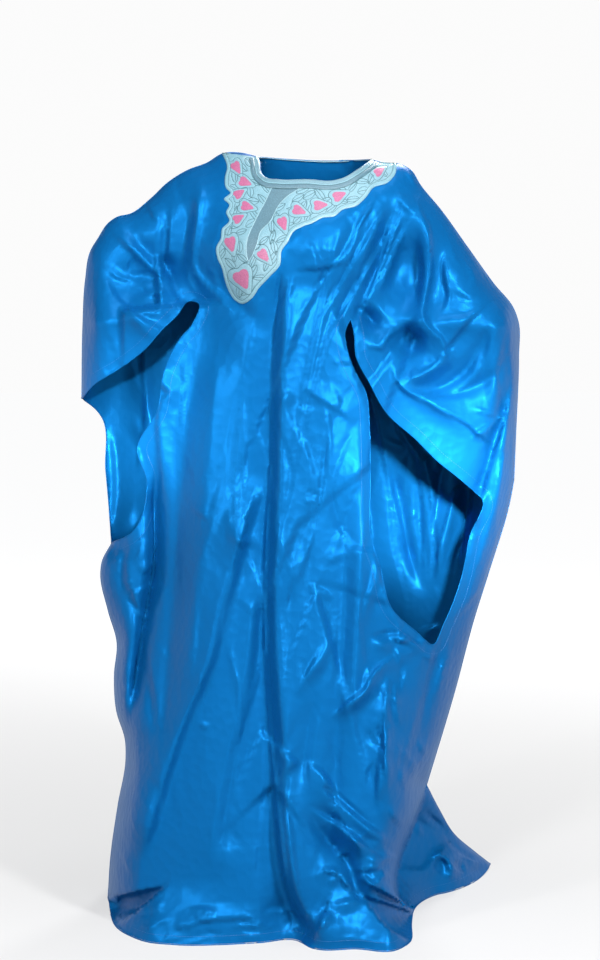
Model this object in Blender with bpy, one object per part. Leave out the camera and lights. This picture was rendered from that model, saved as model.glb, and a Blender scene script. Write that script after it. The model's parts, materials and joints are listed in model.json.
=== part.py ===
"""Grand boubou robe in its hollow worn pose, built from its cut and sewn pieces.

Two wide cloth sheets, front and back, are cut with their sleeves in one and meet along the
shoulders, arms and sides. Each sheet is drawn as it is seen from the front and given its depth
by tables. Tables are in millimetres: x to the right, drop downward from the hold point, y away
from the front.
"""

import math

import bpy
import numpy as np
from mathutils.geometry import delaunay_2d_cdt

MM = 0.001
VIEW_DISTANCE = 4200.0
EYE_HEIGHT = -330.0
FLOOR_HEIGHT = -1413.4
CLOTH_WALL = 1.6
TRIM_WALL = 1.2
TRIM_LIFT = 0.4
TOP_LIFT = 2.0
SEAM_GAP = 0.34
SIDE_ROLL = 60.0
TURN_ROLL = 55.0
TURN_STRIP = 3.0
HEM_REACH = 130.0
FOLD_EDGE = 26.0
HEM_EDGE = 50.0
HEM_CORNER = 30.0
BINDING_WIDTH = 9.0
EDGE_STEP = 26.0
DROP_SCALE = 0.6
GRID_STEP = 25.0
BACK_GRID_STEP = 29.0
POINT_SPACING = 11.0
FLOOR_LIFT = 2.0
RINGS = (2.0, 8.0, 22.0, 44.0)
FAR = 1.0e9

RIDGE_LEFT = (
    (-89, -15, 30), (-124, -23, 42), (-155, -22, 46), (-186, -4, 50), (-223, 10, 50), (-260, 33, 50),
    (-293, 64, 50), (-332, 93, 45), (-357, 99, 45), (-374, 111, 45), (-392, 138, 42), (-407, 163, 40),
    (-417, 218, 40), (-422, 306, 40), (-424, 443, 45))
NOTCH_LEFT = (
    (-424, 443), (-407, 422), (-349, 384), (-302, 347), (-274, 315), (-245, 287), (-218, 258),
    (-203, 262), (-215, 304), (-236, 329), (-268, 395), (-280, 466), (-318, 540), (-300, 600),
    (-334, 703), (-367, 718))
RIM_LEFT = (
    (-424, 443), (-395, 466), (-388, 475), (-378, 580), (-370, 674), (-367, 718))
SIDE_LEFT = (
    (-367, 718, 40), (-386, 756, 40), (-388, 772, 40), (-374, 846, 40), (-357, 908, 42), (-362, 969, 46),
    (-358, 1036, 50), (-341, 1094, 55), (-340, 1127, 60), (-355, 1216, 68), (-369, 1315, 80),
    (-374, 1391, 88.7))
HEM_FRONT = (
    (-374, 1391), (-360, 1446), (-316, 1472), (-247, 1482), (-162, 1482), (-86, 1478), (-12, 1475),
    (11, 1487), (95, 1490), (180, 1489), (200, 1475), (202, 1440), (206, 1417), (249, 1387),
    (268, 1383), (346, 1340), (353, 1328))
HEM_BACK = (
    (-374, 1391), (-361, 1358), (-276, 1343), (-104, 1332), (86, 1317), (218, 1314), (310, 1318),
    (353, 1328))
TRAIN_SIDE = ((353, 1328, 359.4), (322, 1304, 290), (282, 1269, 200), (256, 1226, 130), (231, 1178, 60))
SIDE_RIGHT_LOW = (
    (231, 1178, 60), (285, 998, 50), (322, 860, 50), (349, 774, 50), (390, 636, 60), (397, 598, 60))
SIDE_RIGHT_UP = (
    (397, 598, 60), (400, 522, 60), (406, 363, 52), (405, 297, 50), (397, 274, 46), (359, 226, 30),
    (308, 155, 10), (257, 84, -10), (219, 38, -20), (201, 10, -25), (178, -2, -24), (155, -3, -20),
    (126, -10, -10))
NECK_FRONT = (
    (126, -10), (97, 11), (70, 26), (53, 30), (4, 28), (-51, 28), (-75, 24), (-84, 15), (-86, -2),
    (-89, -15))
NECK_BACK = ((126, -10), (76, -8), (19, -8), (-38, -11), (-89, -15))
HOLE_RIGHT = (
    (87, 291), (94, 323), (97, 363), (123, 414), (154, 469), (211, 521), (253, 563), (293, 595),
    (323, 621), (336, 633), (314, 703), (298, 783), (276, 846), (264, 872), (243, 912), (211, 887),
    (165, 844), (141, 758), (128, 721), (124, 602), (122, 496), (116, 435), (95, 393), (80, 352),
    (76, 314))
TURN_LINE = (
    (231, 1178, 60), (220, 1215, 30), (205, 1255, 0), (182, 1313, -50), (172, 1358, -80),
    (177, 1390, -62), (206, 1417, -14))

DEPTH_X = (-440, -300, -200, -100, 0, 100, 200, 300, 420)
FRONT_DROP = (-30, 0, 70, 140, 250, 350, 450, 600, 800, 1000, 1200, 1500)
FRONT_DEPTH = (
    (20, 15, 0, -35, -50, -60, -50, -20, 10),
    (20, 10, -10, -50, -70, -80, -60, -30, 10),
    (10, -10, -50, -95, -122, -122, -95, -55, -15),
    (-10, -35, -75, -140, -168, -160, -105, -75, -35),
    (-30, -65, -70, -150, -172, -152, -85, -92, -55),
    (-55, -92, -95, -160, -177, -165, -112, -112, -72),
    (-55, -75, -115, -167, -182, -170, -115, -102, -72),
    (-30, -50, -135, -177, -187, -177, -115, -85, -55),
    (-15, -85, -155, -192, -202, -192, -132, -65, -25),
    (-30, -125, -185, -212, -222, -212, -152, -65, -10),
    (-60, -155, -205, -227, -237, -227, -172, -70, 0),
    (-100, -185, -225, -243, -248, -243, -195, -70, 0))
BACK_DROP = (-30, 0, 140, 350, 600, 1000, 1400)
BACK_DEPTH = (
    (70, 70, 75, 80, 88, 85, 60, 50, 70),
    (72, 75, 80, 88, 95, 90, 65, 60, 75),
    (95, 115, 135, 150, 155, 150, 130, 115, 100),
    (120, 150, 160, 168, 170, 168, 165, 160, 130),
    (115, 150, 180, 192, 198, 196, 190, 170, 140),
    (125, 180, 220, 242, 252, 252, 250, 240, 200),
    (150, 235, 272, 292, 305, 315, 330, 360, 380))

# Each fold: name, path, width on its left, width on its right, height toward the outside,
# and whether its start and its end stay full instead of fading out.
FRONT_FOLDS = (
    ("left forearm", ((-396, 300), (-305, 285), (-232, 268)), 42, 42, 30, 1, 0),
    ("right forearm", ((390, 310), (260, 300), (120, 285)), 58, 50, 30, 1, 0),
    ("centre valley", ((-44, 209), (-63, 352), (-70, 589), (-80, 902), (-65, 1106), (-34, 1396), (11, 1484)),
     34, 9, -24, 0, 1),
    ("centre overlap", ((-19, 218), (-38, 352), (-46, 589), (-53, 902), (-36, 1106), (-6, 1396), (38, 1488)),
     12, 50, 18, 0, 1),
    ("left facet edge", ((-101, 580), (-124, 712), (-177, 931), (-234, 1054), (-291, 1210), (-323, 1340)),
     60, 14, 12, 0, 0),
    ("middle facet edge", ((-89, 750), (-114, 1047), (-148, 1239), (-163, 1368)), 40, 16, 12, 0, 0),
    ("left slit", ((-279, 551), (-285, 636), (-287, 756), (-304, 863), (-327, 1016), (-336, 1092)),
     10, 13, -42, 0, 0),
    ("left side ridge", ((-348, 808), (-340, 978), (-321, 1130), (-332, 1320)), 26, 20, 12, 0, 0),
    ("left hip trough", ((-203, 342), (-224, 484), (-241, 674), (-256, 902), (-276, 1130)), 22, 22, -14, 0, 0),
    ("left thigh ridge", ((-165, 332), (-186, 598), (-209, 826), (-238, 1016)), 30, 34, 14, 0, 0),
    ("right hip ridge", ((101, 484), (108, 674), (99, 902), (86, 1092)), 30, 14, 14, 0, 0),
    ("right thigh trough", ((70, 580), (74, 826), (59, 1092), (48, 1358)), 28, 24, -14, 0, 0),
    ("hem turn valley", ((0, 1210), (25, 1264), (76, 1317), (106, 1408)), 14, 18, -24, 0, 0),
    ("hem turn ridge", ((48, 1188), (89, 1279), (134, 1328), (160, 1325)), 16, 16, 18, 0, 0),
    ("slit fan long", ((180, 937), (133, 960), (116, 998), (40, 1058)), 8, 10, 8, 0, 0),
    ("slit fan short", ((66, 874), (40, 920), (-21, 1011)), 8, 10, 7, 0, 0),
    ("crumple column", ((165, 940), (154, 1016), (150, 1130), (165, 1264)), 20, 14, 16, 0, 0),
    ("slit lip", ((127, 722), (142, 788), (177, 874), (226, 938)), 10, 14, 10, 0, 0),
    ("right side trough", ((272, 874), (241, 960), (222, 1074), (203, 1188)), 16, 14, -13, 0, 0),
    ("left shoulder ridge", ((-188, 6), (-198, 66), (-207, 142), (-213, 184)), 10, 14, 12, 0, 0),
    ("left shoulder trough", ((-207, 38), (-222, 114), (-234, 200), (-238, 246)), 14, 12, -14, 0, 0),
    ("left armpit", ((-262, 160), (-257, 205), (-246, 240)), 18, 16, -22, 0, 0),
    ("below applique", ((-177, 184), (-150, 234), (-108, 284), (-74, 330)), 18, 16, -12, 0, 0),
    ("bust swell", ((-32, 184), (6, 158), (51, 162), (82, 192)), 26, 34, 10, 0, 0),
    ("right fan inner", ((150, 50), (116, 100), (80, 184), (48, 266)), 11, 12, 10, 0, 0),
    ("right fan middle", ((165, 28), (141, 95), (110, 184), (88, 270)), 11, 13, 13, 0, 0),
    ("right fan outer", ((180, 48), (163, 124), (137, 210), (116, 270)), 11, 12, 12, 0, 0),
    ("right armpit", ((196, 90), (184, 150), (166, 215), (150, 270)), 20, 20, -24, 0, 0),
    ("right sleeve crease", ((220, 42), (215, 86), (232, 133), (236, 190), (228, 256), (228, 304),
                             (251, 323), (268, 363)), 24, 12, 12, 0, 0),
    ("swag lip", ((268, 363), (256, 382), (239, 391), (218, 401), (200, 407), (173, 403)), 16, 10, 12, 0, 0),
    ("swag hollow", ((165, 332), (203, 355), (238, 348)), 18, 20, -18, 0, 0),
    ("hem parallel ridge", ((158, 390), (179, 415), (209, 438), (238, 456), (296, 495), (327, 530)),
     12, 12, 12, 0, 0),
    ("elbow swag", ((390, 352), (360, 398), (320, 422), (276, 438), (241, 440)), 16, 12, -14, 0, 0),
    ("flap edge valley", ((388, 388), (374, 456), (352, 549), (334, 612)), 10, 11, -28, 0, 1),
    ("outer band", ((390, 470), (382, 542), (362, 636), (337, 732), (306, 840)), 11, 15, 14, 0, 0),
    ("left elbow crease", ((-360, 122), (-335, 155), (-294, 196), (-262, 226)), 9, 10, 11, 0, 0),
    ("left elbow trough", ((-350, 104), (-318, 145), (-280, 186), (-255, 214)), 8, 9, -10, 0, 0),
    ("left cuff crease", ((-345, 262), (-323, 290), (-300, 318), (-282, 338)), 9, 10, 9, 0, 0),
)
BACK_FOLDS = (
    ("cavity fold near", ((150, 522), (177, 618), (203, 750), (228, 826)), 12, 16, 22, 0, 0),
    ("cavity fold inner", ((213, 557), (218, 636), (229, 750), (234, 826)), 9, 9, 16, 0, 0),
    ("cavity fold outer", ((291, 598), (270, 694), (249, 808)), 10, 12, -14, 0, 0),
    ("sleeve back left", ((-360, 330), (-310, 430), (-280, 560), (-276, 700)), 22, 22, 16, 0, 0),
    ("sleeve back right", ((330, 330), (300, 480), (310, 640), (290, 800)), 22, 24, 18, 0, 0),
    ("shoulder back left", ((-150, 30), (-120, 200), (-110, 420), (-130, 700)), 26, 30, 16, 0, 0),
    ("shoulder back right", ((130, 30), (100, 220), (96, 460), (110, 720)), 28, 24, 16, 0, 0),
    ("back centre", ((-10, 60), (6, 400), (-8, 800), (10, 1290)), 34, 26, 18, 0, 1),
    ("back valley left", ((-60, 300), (-70, 700), (-62, 1290)), 20, 26, -16, 0, 1),
    ("back valley right", ((70, 300), (60, 700), (80, 1290)), 26, 20, -16, 0, 1),
    ("back far left", ((-240, 560), (-250, 900), (-290, 1300)), 26, 30, 20, 0, 1),
    ("back left trough", ((-180, 500), (-190, 860), (-210, 1300)), 22, 22, -18, 0, 1),
    ("back left ridge", ((-130, 760), (-140, 1000), (-150, 1300)), 22, 26, 16, 0, 1),
    ("back right ridge", ((150, 760), (160, 1000), (190, 1290)), 26, 22, 20, 0, 1),
    ("back right trough", ((200, 860), (215, 1040), (240, 1280)), 18, 18, -14, 0, 1),
)

APPLIQUE = (
    (-158, -24), (-148, 6), (-152, 23), (-150, 44), (-142, 53), (-154, 65), (-144, 76), (-150, 90),
    (-144, 106), (-158, 122), (-160, 139), (-169, 158), (-167, 175), (-158, 196), (-152, 220), (-144, 241),
    (-132, 258), (-118, 264), (-104, 256), (-86, 232), (-66, 211), (-48, 190), (-44, 162), (-34, 148),
    (-21, 126), (-6, 118), (15, 110), (32, 101), (57, 97), (70, 86), (97, 78), (116, 61), (129, 44),
    (158, 33), (171, 18), (175, -4))
PLACKET = (
    (-62, 42), (-8, 43), (-34, 61), (-50, 78), (-66, 108), (-84, 127), (-92, 154), (-107, 182),
    (-111, 154), (-93, 104), (-74, 68))
# Petal patches: x, drop, length, width, angle in degrees.
PETALS = (
    (-130, 6, 22, 14, 60), (-114, 34, 22, 14, 20), (-125, 56, 20, 13, -35), (-110, 80, 22, 14, 15),
    (-126, 103, 20, 13, -30), (-140, 150, 26, 17, 75), (-78, 172, 25, 15, 50), (-118, 216, 34, 24, 65),
    (-42, 112, 24, 15, 70), (-12, 88, 24, 15, 20), (28, 78, 24, 15, -5), (64, 60, 24, 15, -25),
    (140, 14, 20, 13, -35))
PETAL_POINTS = 9

COLOURS = {
    "blue_cloth": (0.003, 0.19, 0.62, 1.0),
    "aqua_applique": (0.38, 0.66, 0.72, 1.0),
    "grey_teal_placket": (0.17, 0.35, 0.42, 1.0),
    "teal_binding": (0.27, 0.55, 0.63, 1.0),
    "pink_petal": (0.68, 0.17, 0.36, 1.0),
}


def clear_scene():
    for item in list(bpy.data.objects):
        bpy.data.objects.remove(item)


def soft_line(points, step):
    """Points along a soft curve through the given ones, about one step apart."""
    points = np.array(points, float)
    lengths = np.linalg.norm(np.diff(points[:, :2], axis=0), axis=1)
    knots = np.concatenate(((0.0,), np.cumsum(lengths)))
    at = [0.0]
    for start, length in zip(knots[:-1], lengths):
        count = max(1, int(round(length / step)))
        at.extend(start + length * (place + 1) / count for place in range(count))
    return soft_read(knots, points, np.array(at))


def soft_read(knots, rows, at):
    """Rows read at places between their knots, along a soft curve."""
    knots = np.asarray(knots, float)
    rows = np.asarray(rows, float)
    slopes = np.gradient(rows, knots, axis=0)
    index = np.clip(np.searchsorted(knots, at) - 1, 0, len(knots) - 2)
    gap = (knots[index + 1] - knots[index])[:, None]
    share = np.clip((at - knots[index])[:, None] / gap, 0.0, 1.0)
    square = share * share
    cube = square * share
    start = (2 * cube - 3 * square + 1) * rows[index] + (cube - 2 * square + share) * gap * slopes[index]
    end = (3 * square - 2 * cube) * rows[index + 1] + (cube - square) * gap * slopes[index + 1]
    return start + end


class DepthTable:
    """A depth table read softly at any place."""

    def __init__(self, drops, rows):
        self.x = np.arange(DEPTH_X[0], DEPTH_X[-1] + 1, 10.0)
        self.drop = np.arange(drops[0], drops[-1] + 1, 10.0)
        tall = soft_read(drops, rows, self.drop)
        self.grid = soft_read(DEPTH_X, tall.T, self.x)

    def read(self, points):
        column = np.clip((points[:, 0] - self.x[0]) / 10.0, 0, len(self.x) - 1.001)
        row = np.clip((points[:, 1] - self.drop[0]) / 10.0, 0, len(self.drop) - 1.001)
        i = column.astype(int)
        j = row.astype(int)
        a = column - i
        b = row - j
        near = self.grid[i, j] * (1 - b) + self.grid[i, j + 1] * b
        far = self.grid[i + 1, j] * (1 - b) + self.grid[i + 1, j + 1] * b
        return near * (1 - a) + far * a


def nearest(points, lines):
    """Distance to the nearest of the lines, with its side, its place along and the line's depth."""
    best = np.full(len(points), FAR)
    side = np.zeros(len(points))
    along = np.zeros(len(points))
    depth = np.zeros(len(points))
    for line in lines:
        run = 0.0
        for start, end in zip(line[:-1], line[1:]):
            step = end[:2] - start[:2]
            length = float(np.hypot(step[0], step[1]))
            offset = points - start[:2]
            share = np.clip(offset @ step / (length * length), 0.0, 1.0)
            apart = offset - share[:, None] * step
            distance = np.hypot(apart[:, 0], apart[:, 1])
            closer = distance < best
            best[closer] = distance[closer]
            side[closer] = (offset[:, 0] * step[1] - offset[:, 1] * step[0])[closer]
            along[closer] = run + share[closer] * length
            if len(start) > 2:
                depth[closer] = start[2] + share[closer] * (end[2] - start[2])
            run += length
    return best, np.sign(side), along, depth


def inside(points, loop):
    """Whether each point lies inside a closed loop."""
    x = points[:, 0]
    drop = points[:, 1]
    hit = np.zeros(len(points), bool)
    for start, end in zip(loop, np.roll(loop, -1, axis=0)):
        if start[1] == end[1]:
            continue
        crosses = (start[1] > drop) != (end[1] > drop)
        reach = (end[0] - start[0]) * (drop - start[1]) / (end[1] - start[1]) + start[0]
        hit ^= crosses & (x < reach)
    return hit


def ease(share):
    share = np.clip(share, 0.0, 1.0)
    return share * share * (3 - 2 * share)


def roll(distance, reach):
    """Rise of a rounded edge, zero at the edge and one past its reach."""
    left = 1 - np.clip(distance / reach, 0.0, 1.0)
    return np.sqrt(1 - left * left)


def floor_depth(drop):
    """Depth at which a sight line at this drop reaches the floor."""
    fall = np.maximum(drop + EYE_HEIGHT, 1.0)
    return VIEW_DISTANCE * (-(FLOOR_HEIGHT - EYE_HEIGHT) / fall - 1)


def place(points, depth):
    """Points in metres at a depth along their own sight lines."""
    reach = (VIEW_DISTANCE + depth) / VIEW_DISTANCE
    height = EYE_HEIGHT + (-points[:, 1] - EYE_HEIGHT) * reach
    return np.column_stack((points[:, 0] * reach, depth, height)) * MM


def fold_height(points, folds):
    """How far the folds raise each point."""
    total = np.zeros(len(points))
    for _name, path, left, right, height, start_full, end_full in folds:
        line = soft_line(path, 24.0)
        distance, side, along, _depth = nearest(points, [line])
        width = np.where(side > 0, right, left)
        length = np.sum(np.linalg.norm(np.diff(line, axis=0), axis=1))
        fade = np.ones(len(points))
        reach = min(110.0, 0.45 * length)
        if not start_full:
            fade *= ease(along / reach)
        if not end_full:
            fade *= ease((length - along) / reach)
        total += height * fade * np.exp(-(distance / width) ** 1.5)
    return total


class Sheet:
    """One cloth sheet: its outline stretches, its depth and its mesh."""

    def __init__(self, stretches, holes, folds, table, toward, grid_step):
        self.kinds = [kind for kind, _points in stretches]
        self.lines = [soft_line(points, EDGE_STEP) for _kind, points in stretches]
        self.joined = [line for kind, line in zip(self.kinds, self.lines) if kind == "joined"]
        self.hem = [line[:, :2] for kind, line in zip(self.kinds, self.lines) if kind == "hem"]
        self.loop = np.vstack([line[:-1, :2] for line in self.lines])
        self.holes = [soft_line(points + (points[0],), EDGE_STEP)[:-1] for points in holes]
        self.folds = folds
        self.table = table
        self.toward = toward
        self.grid_step = grid_step
        self.turn = None
        self.hem_error = None

    def keep(self, points):
        """Whether each point is on the cloth."""
        kept = inside(points, self.loop)
        for hole in self.holes:
            kept &= ~inside(points, hole)
        return kept

    def base_depth(self, points):
        """Depth of the sheet without its folds and its hem settled on the floor."""
        distance, _side, _along, edge = nearest(points, self.joined)
        target = self.table.read(points)
        train = ease((points[:, 1] - 1120) / 60) * ease((points[:, 0] - 150) / 60)
        if self.toward < 0:
            train_target = np.minimum(80 + 1.2 * (points[:, 0] - 200), edge - 30)
            target = np.minimum(target, edge - 8)
            body = edge + (target - edge) * roll(distance, SIDE_ROLL)
            tail = edge + (train_target - edge) * roll(distance, 40.0)
            return self.turned(points, body, tail)
        target = np.maximum(target, edge + 12 - 4 * train)
        return edge + (target - edge) * roll(distance, SIDE_ROLL)

    def turned(self, points, body, tail):
        """Body depth that turns back at its lower right edge, with the train's depth beyond."""
        distance, side, _along, edge = nearest(points, [self.turn])
        near_turn = (points[:, 1] > self.turn[0, 1] - 40) & (points[:, 0] > 0)
        rounded = edge + (body - edge) * roll(distance, TURN_ROLL)
        body = np.where(near_turn & (edge > body), np.maximum(body, rounded), body)
        beyond = (side > 0) & (points[:, 1] > self.turn[0, 1])
        share = np.clip(distance / TURN_STRIP, 0.0, 1.0)
        return np.where(beyond, edge + (tail - edge) * share, body)

    def depth(self, points):
        """Depth of the finished sheet."""
        if self.hem_error is None:
            base = self.base_depth(self.hem[0])
            error = floor_depth(self.hem[0][:, 1]) - base
            self.hem_error = [np.column_stack((self.hem[0], error))]
        distance, _side, _along, _edge = nearest(points, self.joined)
        below, _side, _along, error = nearest(points, self.hem_error)
        fade = ease(distance / FOLD_EDGE) * ease(below / HEM_EDGE)
        folds = fold_height(points, self.folds) * fade * self.toward
        settle = error * (1 - ease(below / HEM_REACH)) * ease(distance / HEM_CORNER)
        depth = self.base_depth(points) + folds + settle
        low = points[:, 1] > 1200
        depth = np.where(low, np.minimum(depth, floor_depth(points[:, 1])), depth)
        return depth + self.toward * SEAM_GAP / 2

    def ring_points(self):
        """Points beside the rounded edges, close together where the cloth turns fast."""
        found = []
        for line in self.joined:
            found.extend(self.beside(line, RINGS, self.joined))
        if self.turn is not None:
            found.extend(self.beside(self.turn[1:-1], (-22.0, -8.0, -2.0, TURN_STRIP), [self.turn]))
        return found

    def beside(self, line, offsets, keep_from):
        found = []
        middle = (line[1:, :2] + line[:-1, :2]) / 2
        step = np.diff(line[:, :2], axis=0)
        across = np.column_stack((-step[:, 1], step[:, 0])) / np.linalg.norm(step, axis=1)[:, None]
        for offset in offsets:
            points = middle - across * offset
            distance = nearest(points, keep_from)[0]
            free = nearest(points, self.edges())[0]
            good = self.keep(points) & (distance > abs(offset) * 0.93) & (free > 0.9 * abs(offset))
            found.extend(points[good].tolist())
        return found

    def edges(self):
        closed = [np.vstack((hole, hole[:1])) for hole in self.holes]
        return [line[:, :2] for line in self.lines] + closed

    def fold_points(self):
        """Points along the crests and feet of the folds."""
        crests = []
        feet = []
        for _name, path, left, right, height, _start, _end in self.folds:
            line = soft_line(path, 30.0)
            crests.extend(line.tolist())
            if abs(height) < 12:
                continue
            step = np.gradient(line, axis=0)
            across = np.column_stack((step[:, 1], -step[:, 0])) / np.linalg.norm(step, axis=1)[:, None]
            feet.extend((line + across * right * 1.3).tolist())
            feet.extend((line - across * left * 1.3).tolist())
        return crests + feet

    def grid_points(self):
        """Staggered points over the whole sheet."""
        found = []
        tall = self.grid_step / DROP_SCALE * 0.87
        low = self.loop.min(axis=0)
        high = self.loop.max(axis=0)
        for row in range(int((high[1] - low[1]) / tall) + 1):
            shift = 0.5 * self.grid_step * (row % 2)
            for column in range(int((high[0] - low[0]) / self.grid_step) + 1):
                found.append((low[0] + shift + column * self.grid_step, low[1] + row * tall))
        return found

    def spread(self, fixed):
        """Free points kept apart from one another, from the edges and from the trim lines."""
        rings = self.ring_points()
        kept = [tuple(point) for point in fixed] + [tuple(point) for point in rings]
        cell = self.grid_step
        table = {}
        for point in kept:
            table.setdefault((int(point[0] // cell), int(point[1] // cell)), []).append((point, 0))
        ringed = nearest(np.array(self.grid_points()), self.joined)[0]
        grid = [point for point, far in zip(self.grid_points(), ringed) if far > RINGS[-1] + 6]
        extra = []
        wanted = [(point, POINT_SPACING) for point in self.fold_points()]
        wanted += [(point, self.grid_step * 0.62) for point in grid]
        places = np.array([point for point, _gap in wanted])
        good = self.keep(places) & (nearest(places, self.edges())[0] > 7)
        for (point, gap), use in zip(wanted, good):
            if use and self.clear(point, gap, table, cell):
                extra.append(tuple(point))
                table.setdefault((int(point[0] // cell), int(point[1] // cell)), []).append((point, 0))
        return rings, extra

    @staticmethod
    def clear(point, gap, table, cell):
        column = int(point[0] // cell)
        row = int(point[1] // cell)
        for i in range(column - 2, column + 3):
            for j in range(row - 2, row + 3):
                for other, _mark in table.get((i, j), ()):
                    across = point[0] - other[0]
                    down = (point[1] - other[1]) * DROP_SCALE
                    if across * across + down * down < gap * gap:
                        return False
        return True

    def build(self, trim_loops, trim_lines):
        """Triangulate the sheet and place its outer face."""
        chains = [(self.loop, True)] + [(hole, True) for hole in self.holes]
        chains += [(np.array(loop, float), True) for loop in trim_loops]
        chains += [(np.array(line, float), False) for line in trim_lines]
        if self.turn is not None:
            chains.append((self.turn[:, :2], False))
        points = []
        edges = []
        for chain, closed in chains:
            first = len(points)
            points.extend(tuple(point) for point in chain)
            count = len(chain)
            edges.extend((first + i, first + i + 1) for i in range(count - 1))
            if closed:
                edges.append((first + count - 1, first))
        rings, extra = self.spread(points)
        points = points + [tuple(point) for point in rings] + extra
        flat = [(point[0], -point[1] * DROP_SCALE) for point in points]
        made = delaunay_2d_cdt([number_pair(point) for point in flat], edges, [], 0, 1.0e-4)
        self.flat = np.array([(vert[0], -vert[1] / DROP_SCALE) for vert in made[0]])
        triangles = np.array(made[2])
        middle = self.flat[triangles].mean(axis=1)
        self.triangles = triangles[self.keep(middle)]
        self.trim_flat()
        self.outer = place(self.flat, self.depth(self.flat))
        self.outer[:, 2] = np.maximum(self.outer[:, 2], (FLOOR_HEIGHT + FLOOR_LIFT) * MM)
        self.find_normals()

    def trim_flat(self):
        """Drop unused points and make every triangle face outward."""
        used = np.unique(self.triangles)
        renumber = np.full(len(self.flat), -1)
        renumber[used] = np.arange(len(used))
        self.flat = self.flat[used]
        self.triangles = renumber[self.triangles]
        corner = self.flat[self.triangles]
        first = corner[:, 1] - corner[:, 0]
        second = corner[:, 2] - corner[:, 0]
        area = first[:, 0] * second[:, 1] - first[:, 1] * second[:, 0]
        wrong = (area > 0) if self.toward < 0 else (area < 0)
        self.triangles[wrong] = self.triangles[wrong][:, ::-1]

    def find_normals(self):
        """Outward directions at the points, level at the hem and across the view at joined edges."""
        corner = self.outer[self.triangles]
        face = np.cross(corner[:, 1] - corner[:, 0], corner[:, 2] - corner[:, 0])
        face /= np.linalg.norm(face, axis=1)[:, None] + 1e-12
        self.normals = np.zeros_like(self.outer)
        for index in range(3):
            one = corner[:, (index + 1) % 3] - corner[:, index]
            two = corner[:, (index + 2) % 3] - corner[:, index]
            spread = np.linalg.norm(one, axis=1) * np.linalg.norm(two, axis=1) + 1e-15
            angle = np.arccos(np.clip((one * two).sum(axis=1) / spread, -1, 1))
            np.add.at(self.normals, self.triangles[:, index], face * angle[:, None])
        hem = nearest(self.flat, self.hem)[0] < 0.02
        self.normals[hem, 2] = 0
        distance = nearest(self.flat, self.joined)[0]
        for index in np.nonzero(distance < 0.02)[0]:
            self.normals[index] = self.edge_normal(self.flat[index])
        self.normals /= np.linalg.norm(self.normals, axis=1)[:, None]

    def edge_normal(self, point):
        """Direction out of the outline, across the view."""
        best = FAR
        found = np.array((0.0, self.toward, 0.0))
        for line in self.joined:
            slope = np.gradient(line[:, :2], axis=0)
            for index in range(len(line) - 1):
                step = line[index + 1, :2] - line[index, :2]
                share = float(np.clip((point - line[index, :2]) @ step / (step @ step), 0.0, 1.0))
                apart = point - line[index, :2] - share * step
                distance = float(np.hypot(apart[0], apart[1]))
                if distance < best:
                    best = distance
                    way = slope[index] * (1 - share) + slope[index + 1] * share
                    found = np.array((-way[1], 0.0, -way[0])) / np.linalg.norm(way)
        return found


def number_pair(pair):
    return (float(pair[0]), float(pair[1]))


def slab(name, sheet, triangles, low, high, material):
    """A closed body between two offsets from a sheet's outer face."""
    used = np.unique(triangles)
    renumber = np.full(len(sheet.flat), -1)
    renumber[used] = np.arange(len(used))
    faces = renumber[triangles]
    outer = sheet.outer[used] + sheet.normals[used] * high * MM
    inner = sheet.outer[used] + sheet.normals[used] * low * MM
    inner[:, 2] = np.maximum(inner[:, 2], (FLOOR_HEIGHT + 0.2) * MM)
    count = len(used)
    body = [tuple(face) for face in faces]
    body += [tuple(face[::-1] + count) for face in faces]
    directed = set()
    for face in faces:
        for start, end in zip(face, np.roll(face, -1)):
            directed.add((int(start), int(end)))
    for start, end in sorted(directed):
        if (end, start) not in directed:
            body.append((end, start, start + count))
            body.append((end, start + count, end + count))
    mesh = bpy.data.meshes.new(name)
    mesh.from_pydata(np.vstack((outer, inner)).tolist(), [], [tuple(int(v) for v in face) for face in body])
    mesh.update()
    mesh.materials.append(material)
    made = bpy.data.objects.new(name, mesh)
    bpy.context.scene.collection.objects.link(made)
    return made


def make_material(name):
    material = bpy.data.materials.new(name)
    material.use_nodes = True
    shader = material.node_tree.nodes["Principled BSDF"]
    shader.inputs["Base Color"].default_value = COLOURS[name]
    shader.inputs["Roughness"].default_value = 0.4
    return material


def offset_line(line, distance):
    """A line moved sideways in the drawing."""
    step = np.gradient(line, axis=0)
    across = np.column_stack((step[:, 1], -step[:, 0])) / np.linalg.norm(step, axis=1)[:, None]
    return line + across * distance


def petal_loop(petal):
    """Outline of one pointed petal patch."""
    x, drop, length, width, angle = petal
    turn = math.radians(angle)
    loop = []
    for index in range(PETAL_POINTS):
        way = 2 * math.pi * index / PETAL_POINTS
        across = 0.5 * length * math.cos(way)
        up = 0.5 * width * math.sin(way) * (1 - 0.35 * math.cos(way))
        loop.append((x + across * math.cos(turn) - up * math.sin(turn),
                     drop + across * math.sin(turn) + up * math.cos(turn)))
    return np.array(loop)


def band_loop(neck, inner):
    """Closed loop round the strip between the neck edge and a line inside it."""
    return np.vstack((neck, inner[::-1]))


def front_sheet():
    stretches = (
        ("joined", RIDGE_LEFT), ("free", NOTCH_LEFT), ("joined", SIDE_LEFT), ("hem", HEM_FRONT),
        ("joined", TRAIN_SIDE), ("joined", SIDE_RIGHT_LOW), ("joined", SIDE_RIGHT_UP), ("free", NECK_FRONT))
    sheet = Sheet(stretches, (HOLE_RIGHT,), FRONT_FOLDS, DepthTable(FRONT_DROP, FRONT_DEPTH), -1, GRID_STEP)
    sheet.turn = soft_line(TURN_LINE, EDGE_STEP)
    return sheet


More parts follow.
